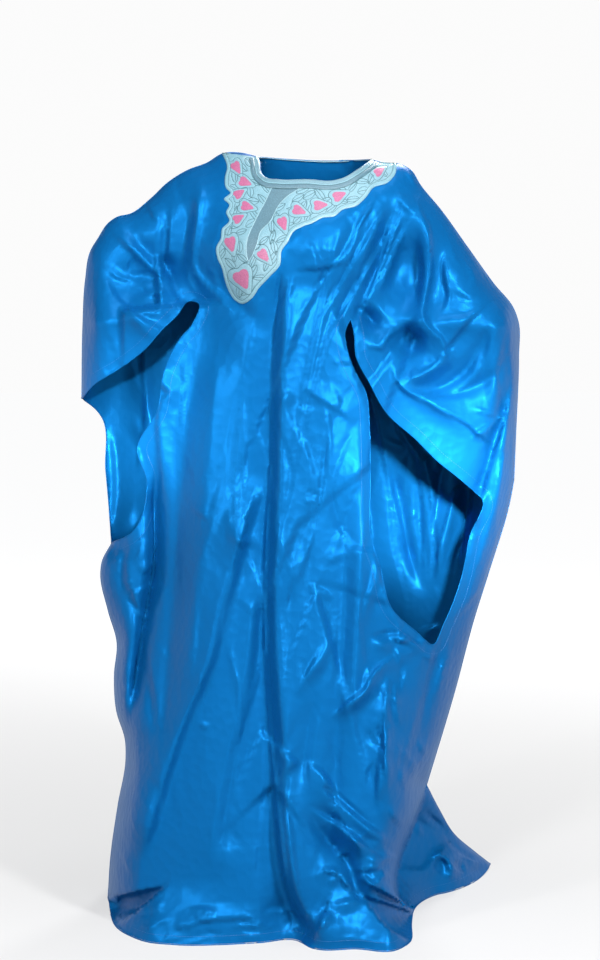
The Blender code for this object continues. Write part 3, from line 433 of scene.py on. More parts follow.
# Sharp creases: name, path, width on the left, width on the right, height and, where one end
# stays full, whether each end tapers away.
FRONT_CREASES = (
    ("left shoulder groove", ((-260, 66), (-264, 133), (-266, 184), (-268, 234)), 9, 7, -9),
    ("left shoulder roll", ((-207, 19), (-205, 93), (-213, 162), (-213, 192), (-198, 218), (-173, 241),
     (-142, 274), (-127, 291)), 16, 12, 7),
    ("left upper sleeve bright", ((-302, 61), (-294, 80), (-283, 97), (-268, 110)), 10, 14, 6),
    ("left sleeve long crease", ((-374, 116), (-350, 137), (-325, 160), (-300, 184), (-281, 205),
     (-262, 234)), 10, 14, 8),
    ("left sleeve facet side", ((-329, 160), (-338, 184), (-344, 211)), 16, 9, 5),
    ("left sleeve facet base", ((-344, 211), (-317, 209), (-289, 207)), 12, 9, -4),
    ("left sleeve loop", ((-308, 217), (-298, 238), (-281, 245), (-260, 239)), 8, 12, 5),
    ("left cuff top", ((-340, 260), (-314, 253), (-283, 243), (-232, 258)), 14, 9, 6),
    ("left cuff edge", ((-395, 184), (-380, 222), (-355, 260), (-332, 277), (-308, 298),
     (-276, 315)), 40, 10, 6, 1, 0),
    ("left cuff fold", ((-336, 262), (-321, 279), (-294, 291), (-266, 291)), 8, 8, -5),
    ("left slit triangle top", ((-359, 458), (-336, 452), (-310, 441), (-281, 431)), 8, 14, 6, 0, 1),
    ("left slit triangle side", ((-357, 460), (-340, 504), (-321, 551), (-304, 595)), 18, 12, 6, 0, 1),
    ("left body edge", ((-268, 418), (-256, 431), (-270, 450), (-276, 475), (-274, 542), (-270, 608),
     (-279, 674)), 9, 16, 8, 0, 1),
    ("left hairline", ((-232, 340), (-230, 393), (-232, 446), (-234, 496), (-236, 542)), 5, 7, 2.2),
    ("left hairline pair", ((-218, 352), (-220, 418), (-220, 484), (-215, 545)), 6, 8, 1.6),
    ("left wavy crease", ((-224, 648), (-209, 654), (-194, 665), (-175, 682)), 7, 10, 3.5),
    ("facet tip crease", ((-76, 587), (-89, 621), (-104, 659), (-118, 694), (-124, 714)), 34, 18, 6, 1, 0),
    ("facet tip side", ((-152, 694), (-139, 703), (-124, 714), (-104, 718), (-82, 722)), 12, 14, 3),
    ("facet left border", ((-124, 716), (-144, 779), (-163, 838), (-186, 940), (-234, 1060),
     (-274, 1182), (-314, 1320)), 62, 22, 13, 0, 1),
    ("facet right border", ((-82, 788), (-87, 902), (-110, 1041), (-141, 1182),
     (-163, 1332)), 26, 44, -12),
    ("facet small mark", ((-205, 1058), (-192, 1066), (-179, 1070)), 6, 6, 2.5),
    ("central lip", ((-38, 184), (-49, 256), (-57, 332), (-63, 424), (-66, 580), (-74, 712), (-76, 902),
     (-70, 1016), (-61, 1150), (-46, 1302), (-25, 1416)), 3, 26, 5, 1, 0),
    ("right dark crease", ((44, 484), (38, 542), (32, 598), (25, 646), (17, 699),
     (13, 728)), 4, 4, -3),
    ("right dark crease low", ((-21, 771), (-27, 811), (-34, 853)), 4, 5, -3),
    ("v ridge", ((-65, 671), (-46, 722), (-25, 777), (-27, 826)), 14, 18, 4),
    ("right short bright", ((-2, 794), (25, 806), (59, 828)), 8, 5, 3.5),
    ("right tiny creases", ((-2, 618), (13, 623), (30, 633)), 5, 5, -1.6),
    ("right tiny creases two", ((-8, 636), (11, 640), (28, 636)), 5, 5, 1.6),
    ("waist crease", ((-11, 408), (13, 431), (48, 454), (76, 471), (104, 496)), 12, 16, 5),
    ("waist crease two", ((-28, 424), (-40, 443), (-53, 466)), 8, 10, 4),
    ("waist ridge", ((21, 431), (40, 469), (46, 515), (42, 580)), 12, 9, 4),
    ("long bright diagonal", ((186, 923), (158, 942), (133, 963), (116, 996), (86, 1020),
     (40, 1058)), 5, 12, 8),
    ("mid diagonal", ((34, 908), (21, 940), (2, 975), (-21, 1013)), 9, 12, 4),
    ("diagonal branch", ((120, 940), (120, 963), (114, 998)), 6, 6, 3),
    ("rim bright crumple", ((127, 733), (133, 766), (131, 788), (120, 819), (114, 846),
     (108, 876)), 5, 7, 5),
    ("crumple left edge", ((158, 963), (154, 998), (152, 1045), (150, 1092), (142, 1150), (139, 1206),
     (148, 1248)), 9, 26, 7),
    ("swag crest", ((-10, 1130), (32, 1161), (59, 1206), (89, 1237), (127, 1267),
     (175, 1298)), 30, 12, 14),
    ("swag under", ((0, 1210), (32, 1229), (76, 1256), (114, 1286), (146, 1313),
     (173, 1324)), 9, 16, -12),
    ("pocket bright", ((82, 1341), (108, 1338), (139, 1332), (163, 1326)), 9, 12, 9),
    ("pocket dark", ((76, 1324), (86, 1358), (104, 1393), (139, 1400)), 8, 10, -9),
    ("pocket ridge", ((163, 1324), (146, 1351), (127, 1370), (108, 1383)), 7, 8, 7),
    ("hem turned ridge", ((48, 1410), (32, 1438), (19, 1465), (11, 1486)), 18, 14, 9, 1, 0),
    ("hem turned top", ((48, 1412), (76, 1402), (108, 1395)), 12, 10, 7),
    ("hem flat crease", ((25, 1480), (66, 1472), (114, 1474), (171, 1480)), 8, 8, 3),
    ("hem band bright", ((-268, 1469), (-241, 1454), (-200, 1436), (-163, 1431), (-114, 1429),
     (-70, 1431)), 10, 16, 5),
    ("hem band lower", ((-276, 1484), (-228, 1472), (-180, 1461), (-139, 1457)), 7, 8, -4),
    ("hem band right", ((-152, 1454), (-124, 1444), (-93, 1446), (-63, 1436)), 7, 7, 3),
    ("left low bright", ((-332, 1182), (-331, 1235), (-331, 1282), (-331, 1324)), 7, 9, 4),
    ("left low marks", ((-285, 1406), (-276, 1402), (-264, 1400)), 6, 6, 2.5),
    ("lower centre ridge", ((-55, 1130), (-42, 1193), (-32, 1273), (-23, 1345),
     (-10, 1416)), 14, 12, 6),
    ("lower right valley", ((21, 998), (6, 1074), (-2, 1134), (2, 1210)), 24, 18, -7),
    ("train ridge", ((150, 1336), (188, 1338), (226, 1340), (243, 1320), (262, 1303),
     (285, 1279)), 12, 9, 6),
    ("train valley", ((220, 1218), (241, 1241), (264, 1260), (283, 1275)), 8, 8, -8),
    ("train mark", ((209, 1248), (217, 1264), (222, 1279)), 6, 6, 4),
    ("chest bright plane", ((-34, 196), (8, 194), (48, 190), (92, 174)), 8, 32, 7),
    ("chest bright crease", ((-15, 186), (-27, 222), (-36, 256), (-46, 314), (-53, 355)), 9, 9, 5),
    ("chest valley", ((-42, 173), (-48, 211), (-51, 253), (-59, 306)), 7, 8, -5),
    ("fan inner bright", ((146, 42), (127, 74), (108, 104), (93, 133), (78, 162)), 6, 8, 5),
    ("fan valley one", ((141, 51), (124, 89), (108, 120), (95, 152), (86, 190)), 5, 6, -5),
    ("shoulder patch low", ((175, 44), (184, 66), (200, 86), (213, 91)), 10, 12, 6),
    ("shoulder edge crease", ((188, 2), (203, 25), (217, 44)), 6, 8, 5),
    ("armpit diagonal", ((209, 91), (196, 116), (180, 142), (165, 177), (142, 230),
     (127, 260)), 8, 12, 9),
    ("fan long one", ((158, 62), (128, 114), (96, 168), (60, 230), (20, 302)), 20, 6, -7),
    ("fan long two", ((176, 68), (150, 130), (116, 192), (78, 258), (42, 332)), 20, 6, -9),
    ("fan long three", ((188, 60), (161, 132), (134, 200), (106, 268), (76, 338)), 22, 6, -10),
    ("fan long four", ((140, 70), (104, 118), (66, 170), (22, 228), (-16, 280)), 18, 6, -5),
    ("armpit valley one", ((152, 104), (138, 192), (117, 256)), 20, 22, -13),
    ("armpit valley two", ((210, 128), (216, 209), (204, 287)), 28, 12, -21),
    ("hollow left pit", ((98, 262), (125, 294), (144, 322)), 24, 24, -25),
    ("hollow right pit", ((186, 298), (205, 326), (228, 346)), 27, 25, -28),
    ("swag valley", ((346, 282), (336, 330), (312, 380), (270, 416), (226, 428), (190, 412)), 30, 26, -18),
    ("centre soften", ((-44, 240), (-63, 352), (-70, 589), (-80, 902), (-65, 1106), (-34, 1396)), 24, 9, 8),
    ("sleeve hairline", ((220, 44), (215, 80), (230, 114), (236, 169), (236, 209), (230, 239),
     (226, 298), (234, 310), (256, 329), (268, 355)), 20, 8, 9, 1, 0),
    ("sleeve facet left", ((270, 150), (268, 205), (274, 255), (254, 291)), 9, 42, 12),
    ("sleeve facet base", ((245, 293), (276, 294), (308, 291), (332, 277), (359, 256)), 14, 9, 6),
    ("sleeve facet arc", ((298, 177), (317, 200), (321, 222), (298, 241)), 9, 10, 3),
    ("sleeve valley", ((268, 355), (294, 325), (321, 291), (346, 268), (370, 247)), 14, 9, -7, 0, 1),
    ("panel left border", ((350, 283), (336, 323), (327, 363), (319, 405), (306, 424)), 22, 14, 6),
    ("panel right ridge", ((376, 317), (369, 352), (361, 405), (365, 446), (370, 479)), 12, 9, 8, 1, 0),
    ("low facet top", ((232, 443), (256, 439), (294, 431), (314, 416)), 12, 14, -6),
    ("low facet ridge", ((158, 357), (169, 390), (180, 416), (201, 433), (226, 443), (253, 460),
     (298, 483), (315, 494), (329, 509)), 9, 36, 10, 1, 0),
    ("low facet end", ((329, 509), (348, 498), (370, 481)), 10, 8, 7, 0, 0),
    ("facet streak", ((310, 462), (332, 467), (355, 473), (370, 479)), 6, 6, 4, 1, 0),
    ("swag line", ((266, 361), (253, 376), (226, 395), (194, 407), (175, 397)), 8, 12, 9, 0, 1),
    ("swag inner peak", ((200, 405), (211, 391), (218, 386)), 8, 8, 5),
    ("cuff mound", ((114, 350), (124, 344), (135, 344), (158, 357)), 8, 12, 6),
    ("hollow light ridge", ((173, 302), (163, 317), (150, 332), (142, 355)), 9, 9, 8),
    ("outer band bright", ((399, 283), (390, 323), (393, 416), (382, 486), (355, 572), (329, 673),
     (314, 722), (300, 779)), 7, 11, 8),
    ("outer band second", ((393, 437), (382, 522), (367, 636), (355, 722)), 7, 6, 4),
    ("outer band third", ((365, 688), (355, 735), (342, 781), (310, 830), (270, 874)), 10, 9, 7),
    ("band low crease", ((279, 902), (268, 933), (256, 978), (241, 1026)), 8, 9, 5),
    ("column plane one", ((178, 958), (172, 1010), (178, 1060), (194, 1088)), 7, 24, 8),
    ("column plane two", ((160, 1056), (152, 1110), (154, 1165), (162, 1202)), 6, 18, 9),
    ("column plane three", ((186, 1136), (183, 1168), (192, 1198)), 6, 18, 7),
    ("column plane four", ((158, 1214), (172, 1244), (192, 1264)), 6, 20, 8),
    ("column plane five", ((216, 1086), (222, 1112), (236, 1128)), 6, 16, 6),
    ("slit foot plane", ((158, 894), (184, 904), (208, 908)), 6, 18, 8),
    ("train plane one", ((266, 1238), (292, 1262), (330, 1288)), 6, 18, 7),
    ("train plane two", ((236, 1310), (280, 1318), (322, 1322)), 6, 18, 7),
    ("slit bottom fold", ((158, 891), (184, 895), (211, 912), (238, 940)), 9, 8, 7),
)
CAVITY_CREASES = (
    ("cavity hairline one", ((125, 441), (133, 466), (144, 515), (158, 580), (180, 674),
     (203, 750)), 8, 14, 9, 0, 1),
    ("cavity hairline two", ((180, 504), (200, 534), (218, 564), (222, 602), (226, 694),
     (230, 808)), 6, 9, 7, 0, 1),
    ("cavity hairline three", ((228, 564), (239, 618), (251, 694), (253, 779)), 6, 8, 6, 0, 1),
    ("cavity hairline four", ((249, 583), (249, 674), (245, 750), (238, 811)), 5, 6, -5, 0, 1),
    ("cavity hairline five", ((287, 618), (272, 674), (256, 735), (245, 788)), 6, 8, 6, 0, 1),
    ("cavity rim edge", ((146, 522), (165, 530), (180, 536), (203, 542)), 10, 10, 5),
    ("cavity floor", ((207, 891), (226, 887), (245, 880), (264, 868)), 12, 9, 6),
    ("cavity long", ((150, 545), (169, 618), (188, 694), (211, 788)), 10, 12, -7),
    ("cavity small", ((196, 678), (203, 667), (215, 659)), 5, 5, 3),
    ("left back fold", ((-367, 484), (-359, 542), (-355, 618), (-367, 712)), 14, 16, 6),
    ("left back triangle", ((-374, 728), (-355, 714), (-334, 703), (-315, 676),
     (-300, 640)), 9, 12, 7),
    ("left back dark", ((-332, 466), (-314, 504), (-294, 542), (-283, 580)), 12, 10, -8),
)
BACK_CREASES = (
    ("back middle fold", ((-20, 70), (-34, 240), (-30, 470), (-52, 760), (-40, 1080),
     (-66, 1390)), 34, 9, 11, 1, 0),
    ("back right fold", ((92, 60), (104, 210), (98, 430), (126, 700), (118, 980),
     (150, 1330)), 8, 38, 12, 1, 0),
    ("back left fold", ((-118, 66), (-140, 230), (-150, 450), (-142, 720), (-186, 1010),
     (-176, 1360)), 9, 30, 10, 1, 0),
    ("back side fold", ((36, 520), (30, 740), (48, 960), (34, 1190), (58, 1400)), 26, 7, 9, 1, 0),
    ("back thigh fold", ((-92, 600), (-108, 820), (-96, 1040), (-122, 1260), (-116, 1400)), 7, 28, 8, 1, 0),
    ("back outer fold", ((-232, 420), (-246, 640), (-258, 880), (-250, 1120), (-276, 1350)), 24, 8, 9),
    ("back right shoulder drag", ((60, 34), (110, 96), (176, 170), (246, 230), (320, 262)), 22, 7, 8),
    ("back right sleeve drag", ((84, 60), (140, 150), (206, 246), (282, 330), (352, 372)), 7, 26, 9),
    ("back right sleeve fall", ((250, 250), (272, 400), (262, 560), (240, 720)), 9, 30, 10),
    ("back right sleeve line", ((330, 330), (336, 460), (318, 600), (290, 760)), 24, 7, 8),
    ("back left shoulder drag", ((-66, 30), (-130, 90), (-206, 140), (-290, 170)), 7, 22, 7),
    ("back left sleeve drag", ((-90, 60), (-160, 150), (-240, 220), (-330, 262)), 24, 8, 9),
    ("back left sleeve fall", ((-290, 250), (-306, 360), (-300, 470), (-318, 600)), 9, 26, 8),
    ("back neck pull", ((-36, 30), (-24, 90), (-6, 150), (4, 220)), 14, 6, 5),
    ("back train sweep", ((120, 980), (160, 1120), (214, 1240), (286, 1330)), 30, 9, 12, 1, 0),
    ("back train line", ((60, 1080), (104, 1210), (170, 1320), (240, 1380)), 8, 24, 9, 1, 0),
)

# Crumpled zones: name, middle x and drop, reach across and down, number of creases, their
# length, height and angle in degrees, and how far the angle strays.
FRONT_CRUMPLES = (
    ("slit foot", 205, 915, 64, 36, 11, 62, 6, 50, 60),
    ("column", 165, 1110, 40, 170, 17, 80, 6, 75, 40),
    ("swag", 110, 1330, 75, 60, 18, 64, 8, 20, 60),
    ("hem left", -210, 1440, 130, 34, 18, 60, 5, -8, 25),
    ("hem middle", -20, 1440, 120, 30, 12, 50, 4, 0, 40),
    ("left side", -330, 720, 40, 130, 14, 60, 6, -50, 40),
    ("left low side", -330, 1180, 30, 200, 12, 70, 4, 85, 25),
    ("outer band", 360, 640, 40, 260, 12, 130, 5, 103, 10),
    ("left sleeve", -320, 220, 80, 70, 2, 110, 4, 35, 40),
    ("left shoulder", -215, 120, 40, 100, 4, 110, 3, 85, 20),
    ("right sleeve", 300, 230, 60, 70, 3, 80, 3, 30, 40),
    ("train", 290, 1330, 60, 26, 20, 50, 9, 30, 50),
    ("waist", 10, 420, 90, 60, 7, 60, 2, 30, 40),
    ("skirt", -80, 950, 190, 330, 12, 110, 2, 85, 30),
    ("skirt lines", -60, 820, 200, 400, 30, 330, 2.6, 91, 4),
)
BACK_CRUMPLES = (
    ("back low", 0, 1150, 300, 180, 18, 110, 5, 85, 20),
    ("back lines", 0, 700, 280, 460, 26, 300, 2.6, 91, 5),
    ("back shoulders", 0, 150, 260, 120, 12, 90, 4, 70, 60),
)


def soft_line(points, step):
    """Points along a soft curve through the given ones, about one step apart."""
    points = np.array(points, float)
    lengths = np.linalg.norm(np.diff(points[:, :2], axis=0), axis=1)
    knots = np.concatenate(((0.0,), np.cumsum(lengths)))
    at = [0.0]
    for start, length in zip(knots[:-1], lengths):
        count = max(1, int(round(length / step)))
        at.extend(start + length * part / count for part in range(1, count + 1))
    return soft_read(knots, points, np.array(at))


def soft_read(knots, rows, at):
    """Rows read at places between their knots, along a soft curve."""
    knots = np.asarray(knots, float)
    rows = np.asarray(rows, float)
    slopes = np.gradient(rows, knots, axis=0)
    index = np.clip(np.searchsorted(knots, at) - 1, 0, len(knots) - 2)
    gap = (knots[index + 1] - knots[index])[:, None]
    share = np.clip((at - knots[index])[:, None] / gap, 0.0, 1.0)
    square = share * share
    cube = square * share
    start = (2 * cube - 3 * square + 1) * rows[index] + (cube - 2 * square + share) * gap * slopes[index]
    end = (3 * square - 2 * cube) * rows[index + 1] + (cube - square) * gap * slopes[index + 1]
    return start + end


class DepthTable:
    """A depth table read softly at any place."""

    def __init__(self, drops, rows):
        self.x = np.arange(DEPTH_X[0], DEPTH_X[-1] + 1, TABLE_STEP)
        self.drop = np.arange(drops[0], drops[-1] + 1, TABLE_STEP)
        tall = soft_read(drops, rows, self.drop)
        self.grid = soft_read(DEPTH_X, tall.T, self.x)

    def read(self, points):
        """Depth at each point, between the four places of the table round it."""
        column = np.clip((points[:, 0] - self.x[0]) / TABLE_STEP, 0, len(self.x) - LAST_CELL)
        row = np.clip((points[:, 1] - self.drop[0]) / TABLE_STEP, 0, len(self.drop) - LAST_CELL)
        left = column.astype(int)
        top = row.astype(int)
        across = column - left
        down = row - top
        near = self.grid[left, top] * (1 - down) + self.grid[left, top + 1] * down
        far = self.grid[left + 1, top] * (1 - down) + self.grid[left + 1, top + 1] * down
        return near * (1 - across) + far * across


def inside(points, loop):
    """Whether each point lies inside a closed loop."""
    x = points[:, 0]
    drop = points[:, 1]
    hit = np.zeros(len(points), bool)
    for start, end in zip(loop, np.roll(loop, -1, axis=0)):
        if start[1] == end[1]:
            continue
        crosses = (start[1] > drop) != (end[1] > drop)
        reach = (end[0] - start[0]) * (drop - start[1]) / (end[1] - start[1]) + start[0]
        hit ^= crosses & (x < reach)
    return hit


def ease(share):
    """Soft rise from zero to one."""
    share = np.clip(share, 0.0, 1.0)
    return share * share * (3 - 2 * share)


def roll(distance, reach):
    """Rise of a rounded edge, zero at the edge and one past its reach."""
    left = 1 - np.clip(distance / reach, 0.0, 1.0)
    return np.sqrt(1 - left * left)


def floor_depth(drop):
    """Depth at which a sight line at this drop reaches the floor."""
    fall = np.maximum(drop + EYE_HEIGHT, LEAST_FALL)
    return VIEW_DISTANCE * (-(FLOOR_HEIGHT - EYE_HEIGHT) / fall - 1)


def place(points, depth):
    """Points in metres at a depth along their own sight lines."""
    reach = (VIEW_DISTANCE + depth) / VIEW_DISTANCE
    height = EYE_HEIGHT + (-points[:, 1] - EYE_HEIGHT) * reach
    return np.column_stack((points[:, 0] * reach, depth, height)) * MM


def lengths_along(line):
    """Length along a line up to each of its points."""
    steps = np.linalg.norm(np.diff(line[:, :2], axis=0), axis=1)
    return np.concatenate(((0.0,), np.cumsum(steps)))


def closed(loop):
    """A loop with its first point again at its end."""
    return np.vstack((loop, loop[:1]))


def unit(rows):
    """Directions scaled to length one."""
    return rows / (np.linalg.norm(rows, axis=1)[:, None] + TINY)


def past(distance, span):
    """Zero up to the start of a span, then rising softly to one over its length."""
    start, length = span
    return ease((distance - start) / length)


def triangulated(points, edges=()):
    """Points and triangles of a flat mesh over the given points, with the given edges in it."""
    flat = [(float(point[0]), -float(point[1])) for point in points]
    made = delaunay_2d_cdt(flat, list(edges), [], 0, MERGE_GAP)
    return np.array([(vert[0], -vert[1]) for vert in made[0]]), np.array(made[2])


def chunked(lines):
    """Short stretches of the lines, each with the lengths along its own line."""
    found = []
    for line in lines:
        line = np.asarray(line, float)
        starts = lengths_along(line)
        for first in range(0, len(line) - 1, CHUNK):
            found.append((line[first:first + CHUNK + 1], starts[first:first + CHUNK + 1]))
    return found


def nearest(points, lines):
    """Distance to the nearest of the lines, with its side, its place along and the line's depth."""
    chunks = chunked(lines)
    bound = np.full(len(points), FAR)
    for rows, _starts in chunks:
        middle = rows[len(rows) // 2, :2]
        np.minimum(bound, np.hypot(points[:, 0] - middle[0], points[:, 1] - middle[1]), out=bound)
    best = bound + BOUND_SLACK
    side = np.zeros(len(points))
    along = np.zeros(len(points))
    depth = np.zeros(len(points))
    for rows, starts in chunks:
        low = rows[:, :2].min(axis=0)
        high = rows[:, :2].max(axis=0)
        apart = np.maximum(np.maximum(low - points, points - high), 0.0)
        close = np.nonzero(apart[:, 0] ** 2 + apart[:, 1] ** 2 <= best * best)[0]
        for start, end, run in zip(rows[:-1], rows[1:], starts):
            step = end[:2] - start[:2]
            length = float(np.hypot(step[0], step[1]))
            if length < SHORTEST_STEP or not len(close):
                continue
            offset = points[close] - start[:2]
            share = np.clip(offset @ step / (length * length), 0.0, 1.0)
            gap = offset - share[:, None] * step
            distance = np.hypot(gap[:, 0], gap[:, 1])
            closer = distance <= best[close]
            rows_hit = close[closer]
            best[rows_hit] = distance[closer]
            side[rows_hit] = (offset[:, 0] * step[1] - offset[:, 1] * step[0])[closer]
            along[rows_hit] = run + share[closer] * length
            if rows.shape[1] > 2:
                depth[rows_hit] = start[2] + share[closer] * (end[2] - start[2])
    return best, np.sign(side), along, depth


def softened(distance, radius):
    """Distance that starts gently, so that a crest is rounded."""
    return np.sqrt(distance * distance + radius * radius) - radius


def faded(along, line, longest, at_start, at_end):
    """Share of a fold's height that is left near the ends where it fades away."""
    length = lengths_along(line)[-1]
    reach = min(longest, FADE_SHARE * length)
    share = np.ones(len(along))
    if at_start:
        share *= ease(along / reach)
    if at_end:
        share *= ease((length - along) / reach)
    return share


def fold_height(points, folds):
    """How far the folds raise each point, with crests sharper than the solid's."""
    total = np.zeros(len(points))
    for _name, path, left, right, height, *full in folds:
        full_start, full_end = full or (0, 0)
        line = soft_line(path, FOLD_STEP)
        distance, side, along, _depth = nearest(points, [line])
        width = np.where(side > 0, right, left)
        fade = FOLD_TALLER * faded(along, line, FOLD_FADE, not full_start, not full_end)
        total += height * fade * np.exp(-(softened(distance, FOLD_SOFT) / width) ** FOLD_POWER)
    return total


def crease_height(points, creases):
    """How far sharp-crested creases raise each point."""
    total = np.zeros(len(points))
    for _name, path, left, right, height, taper_start, taper_end in creases:
        line = soft_line(path, CREASE_STEP)
        widest = max(left, right)
        low = line.min(axis=0) - widest
        high = line.max(axis=0) + widest
        close = np.nonzero(((points > low) & (points < high)).all(axis=1))[0]
        if not len(close):
            continue
        distance, side, along, _depth = nearest(points[close], [line])
        width = np.where(side > 0, right, left)
        fade = faded(along, line, CREASE_FADE, taper_start, taper_end)
        slope = np.clip(1 - softened(distance, CREST_SOFT) / width, 0.0, 1.0)
        total[close] += height * fade * slope ** CREASE_POWER
    return total


def grown(creases):
    """The listed creases made taller, each with a sharper and a softer side."""
    found = []
    for name, path, left, right, height, *tapers in creases:
        start, end = tapers or (1, 1)
        if left < right:
            left, right = left * CREASE_NARROWER, right * CREASE_WIDER
        elif right < left:
            left, right = left * CREASE_WIDER, right * CREASE_NARROWER
        found.append((name, path, left, right, height * CREASE_TALLER, start, end))
    return found


def crumples(zones, seed):
    """Short creases scattered through the crumpled zones, each zone in its own direction."""
    chance = np.random.default_rng(seed)
    found = []
    for name, x, drop, across, down, count, length, height, angle, spread in zones:
        for _index in range(count):
            turn = 2 * math.pi * chance.random()
            out = math.sqrt(chance.random())
            middle = np.array((x + across * out * math.cos(turn), drop + down * out * math.sin(turn)))
            way = math.radians(angle + spread * chance.uniform(-1, 1))
            step = np.array((math.cos(way), math.sin(way))) * length * chance.uniform(*CRUMPLE_LENGTH) / 2
            bend = np.array((-step[1], step[0])) * chance.uniform(-CRUMPLE_BEND, CRUMPLE_BEND)
            path = (tuple(middle - step), tuple(middle + bend), tuple(middle + step))
            left = chance.uniform(*SHARP_SIDE)
            right = chance.uniform(*SOFT_SIDE)
            if chance.random() < 0.5:
                left, right = right, left
            tall = height * chance.uniform(*CRUMPLE_HEIGHT) * chance.choice((-1, 1, 1))
            found.append((name, path, left, right, tall, 1, 1))
    return found


def facet_points(sheet):
    """Uneven points for the corners of the flat facets that the stiff cloth falls into."""
    chance = np.random.default_rng(FACET_SEED)
    low = sheet.loop.min(axis=0)
    high = sheet.loop.max(axis=0)
    wanted = low + (high - low) * chance.random((FACET_TRIES, 2))
    wanted = wanted[sheet.keep(wanted)]
    kept = [tuple(point[:2]) for line in sheet.edges() for point in line[::FACET_EDGE]]
    for point in wanted:
        across, down = FACET_SIZE
        for x, drop, reach, zone_across, zone_down in FACET_ZONES:
            if (point[0] - x) ** 2 + (point[1] - drop) ** 2 < reach * reach:
                across, down = zone_across, zone_down
        rows = np.array(kept)
        apart = ((rows[:, 0] - point[0]) / across) ** 2 + ((rows[:, 1] - point[1]) / down) ** 2
        if apart.min() > 1.0:
            kept.append(tuple(point))
    return np.array(kept)


def facet_share(points):
    """How strongly the cloth falls into facets, most in the zones."""
    share = np.full(len(points), FACET_SHARE)
    for x, drop, reach, _across, _down in FACET_ZONES:
        apart = np.hypot(points[:, 0] - x, points[:, 1] - drop)
        share = np.maximum(share, FACET_SHARE + (FACET_STRONG - FACET_SHARE) * (1 - ease(apart / reach)))
    return share


def facet_depth(corners, depths, points, smooth):
    """Depth read over flat triangles between the corners, or the smooth depth outside them."""
    _flat, triangles = triangulated(corners)
    result = smooth.copy()
    order = np.argsort(points[:, 0])
    ordered = points[order, 0]
    for triangle in triangles:
        first, second, third = corners[triangle]
        low = corners[triangle].min(axis=0)
        high = corners[triangle].max(axis=0)
        close = order[np.searchsorted(ordered, low[0]):np.searchsorted(ordered, high[0])]
        close = close[(points[close, 1] >= low[1]) & (points[close, 1] <= high[1])]
        one = second - first
        two = third - first
        area = one[0] * two[1] - one[1] * two[0]
        if not len(close) or abs(area) < LEAST_AREA:
            continue
        gap = points[close] - first
        share_two = (one[0] * gap[:, 1] - one[1] * gap[:, 0]) / area
        share_one = (gap[:, 0] * two[1] - gap[:, 1] * two[0]) / area
        held = (share_one >= 0) & (share_two >= 0) & (share_one + share_two <= 1)
        start, end_one, end_two = depths[triangle]
        read = start + share_one * (end_one - start) + share_two * (end_two - start)
        result[close[held]] = read[held]
    return result


def sway(points):
    """Broad soft unevenness of the facets' corners."""
    across, down = SWAY_SIZE
    rise = [noise.noise(Vector((x / across, drop / down, SWAY_SEED))) for x, drop in points]
    return SWAY_HEIGHT * np.array(rise)


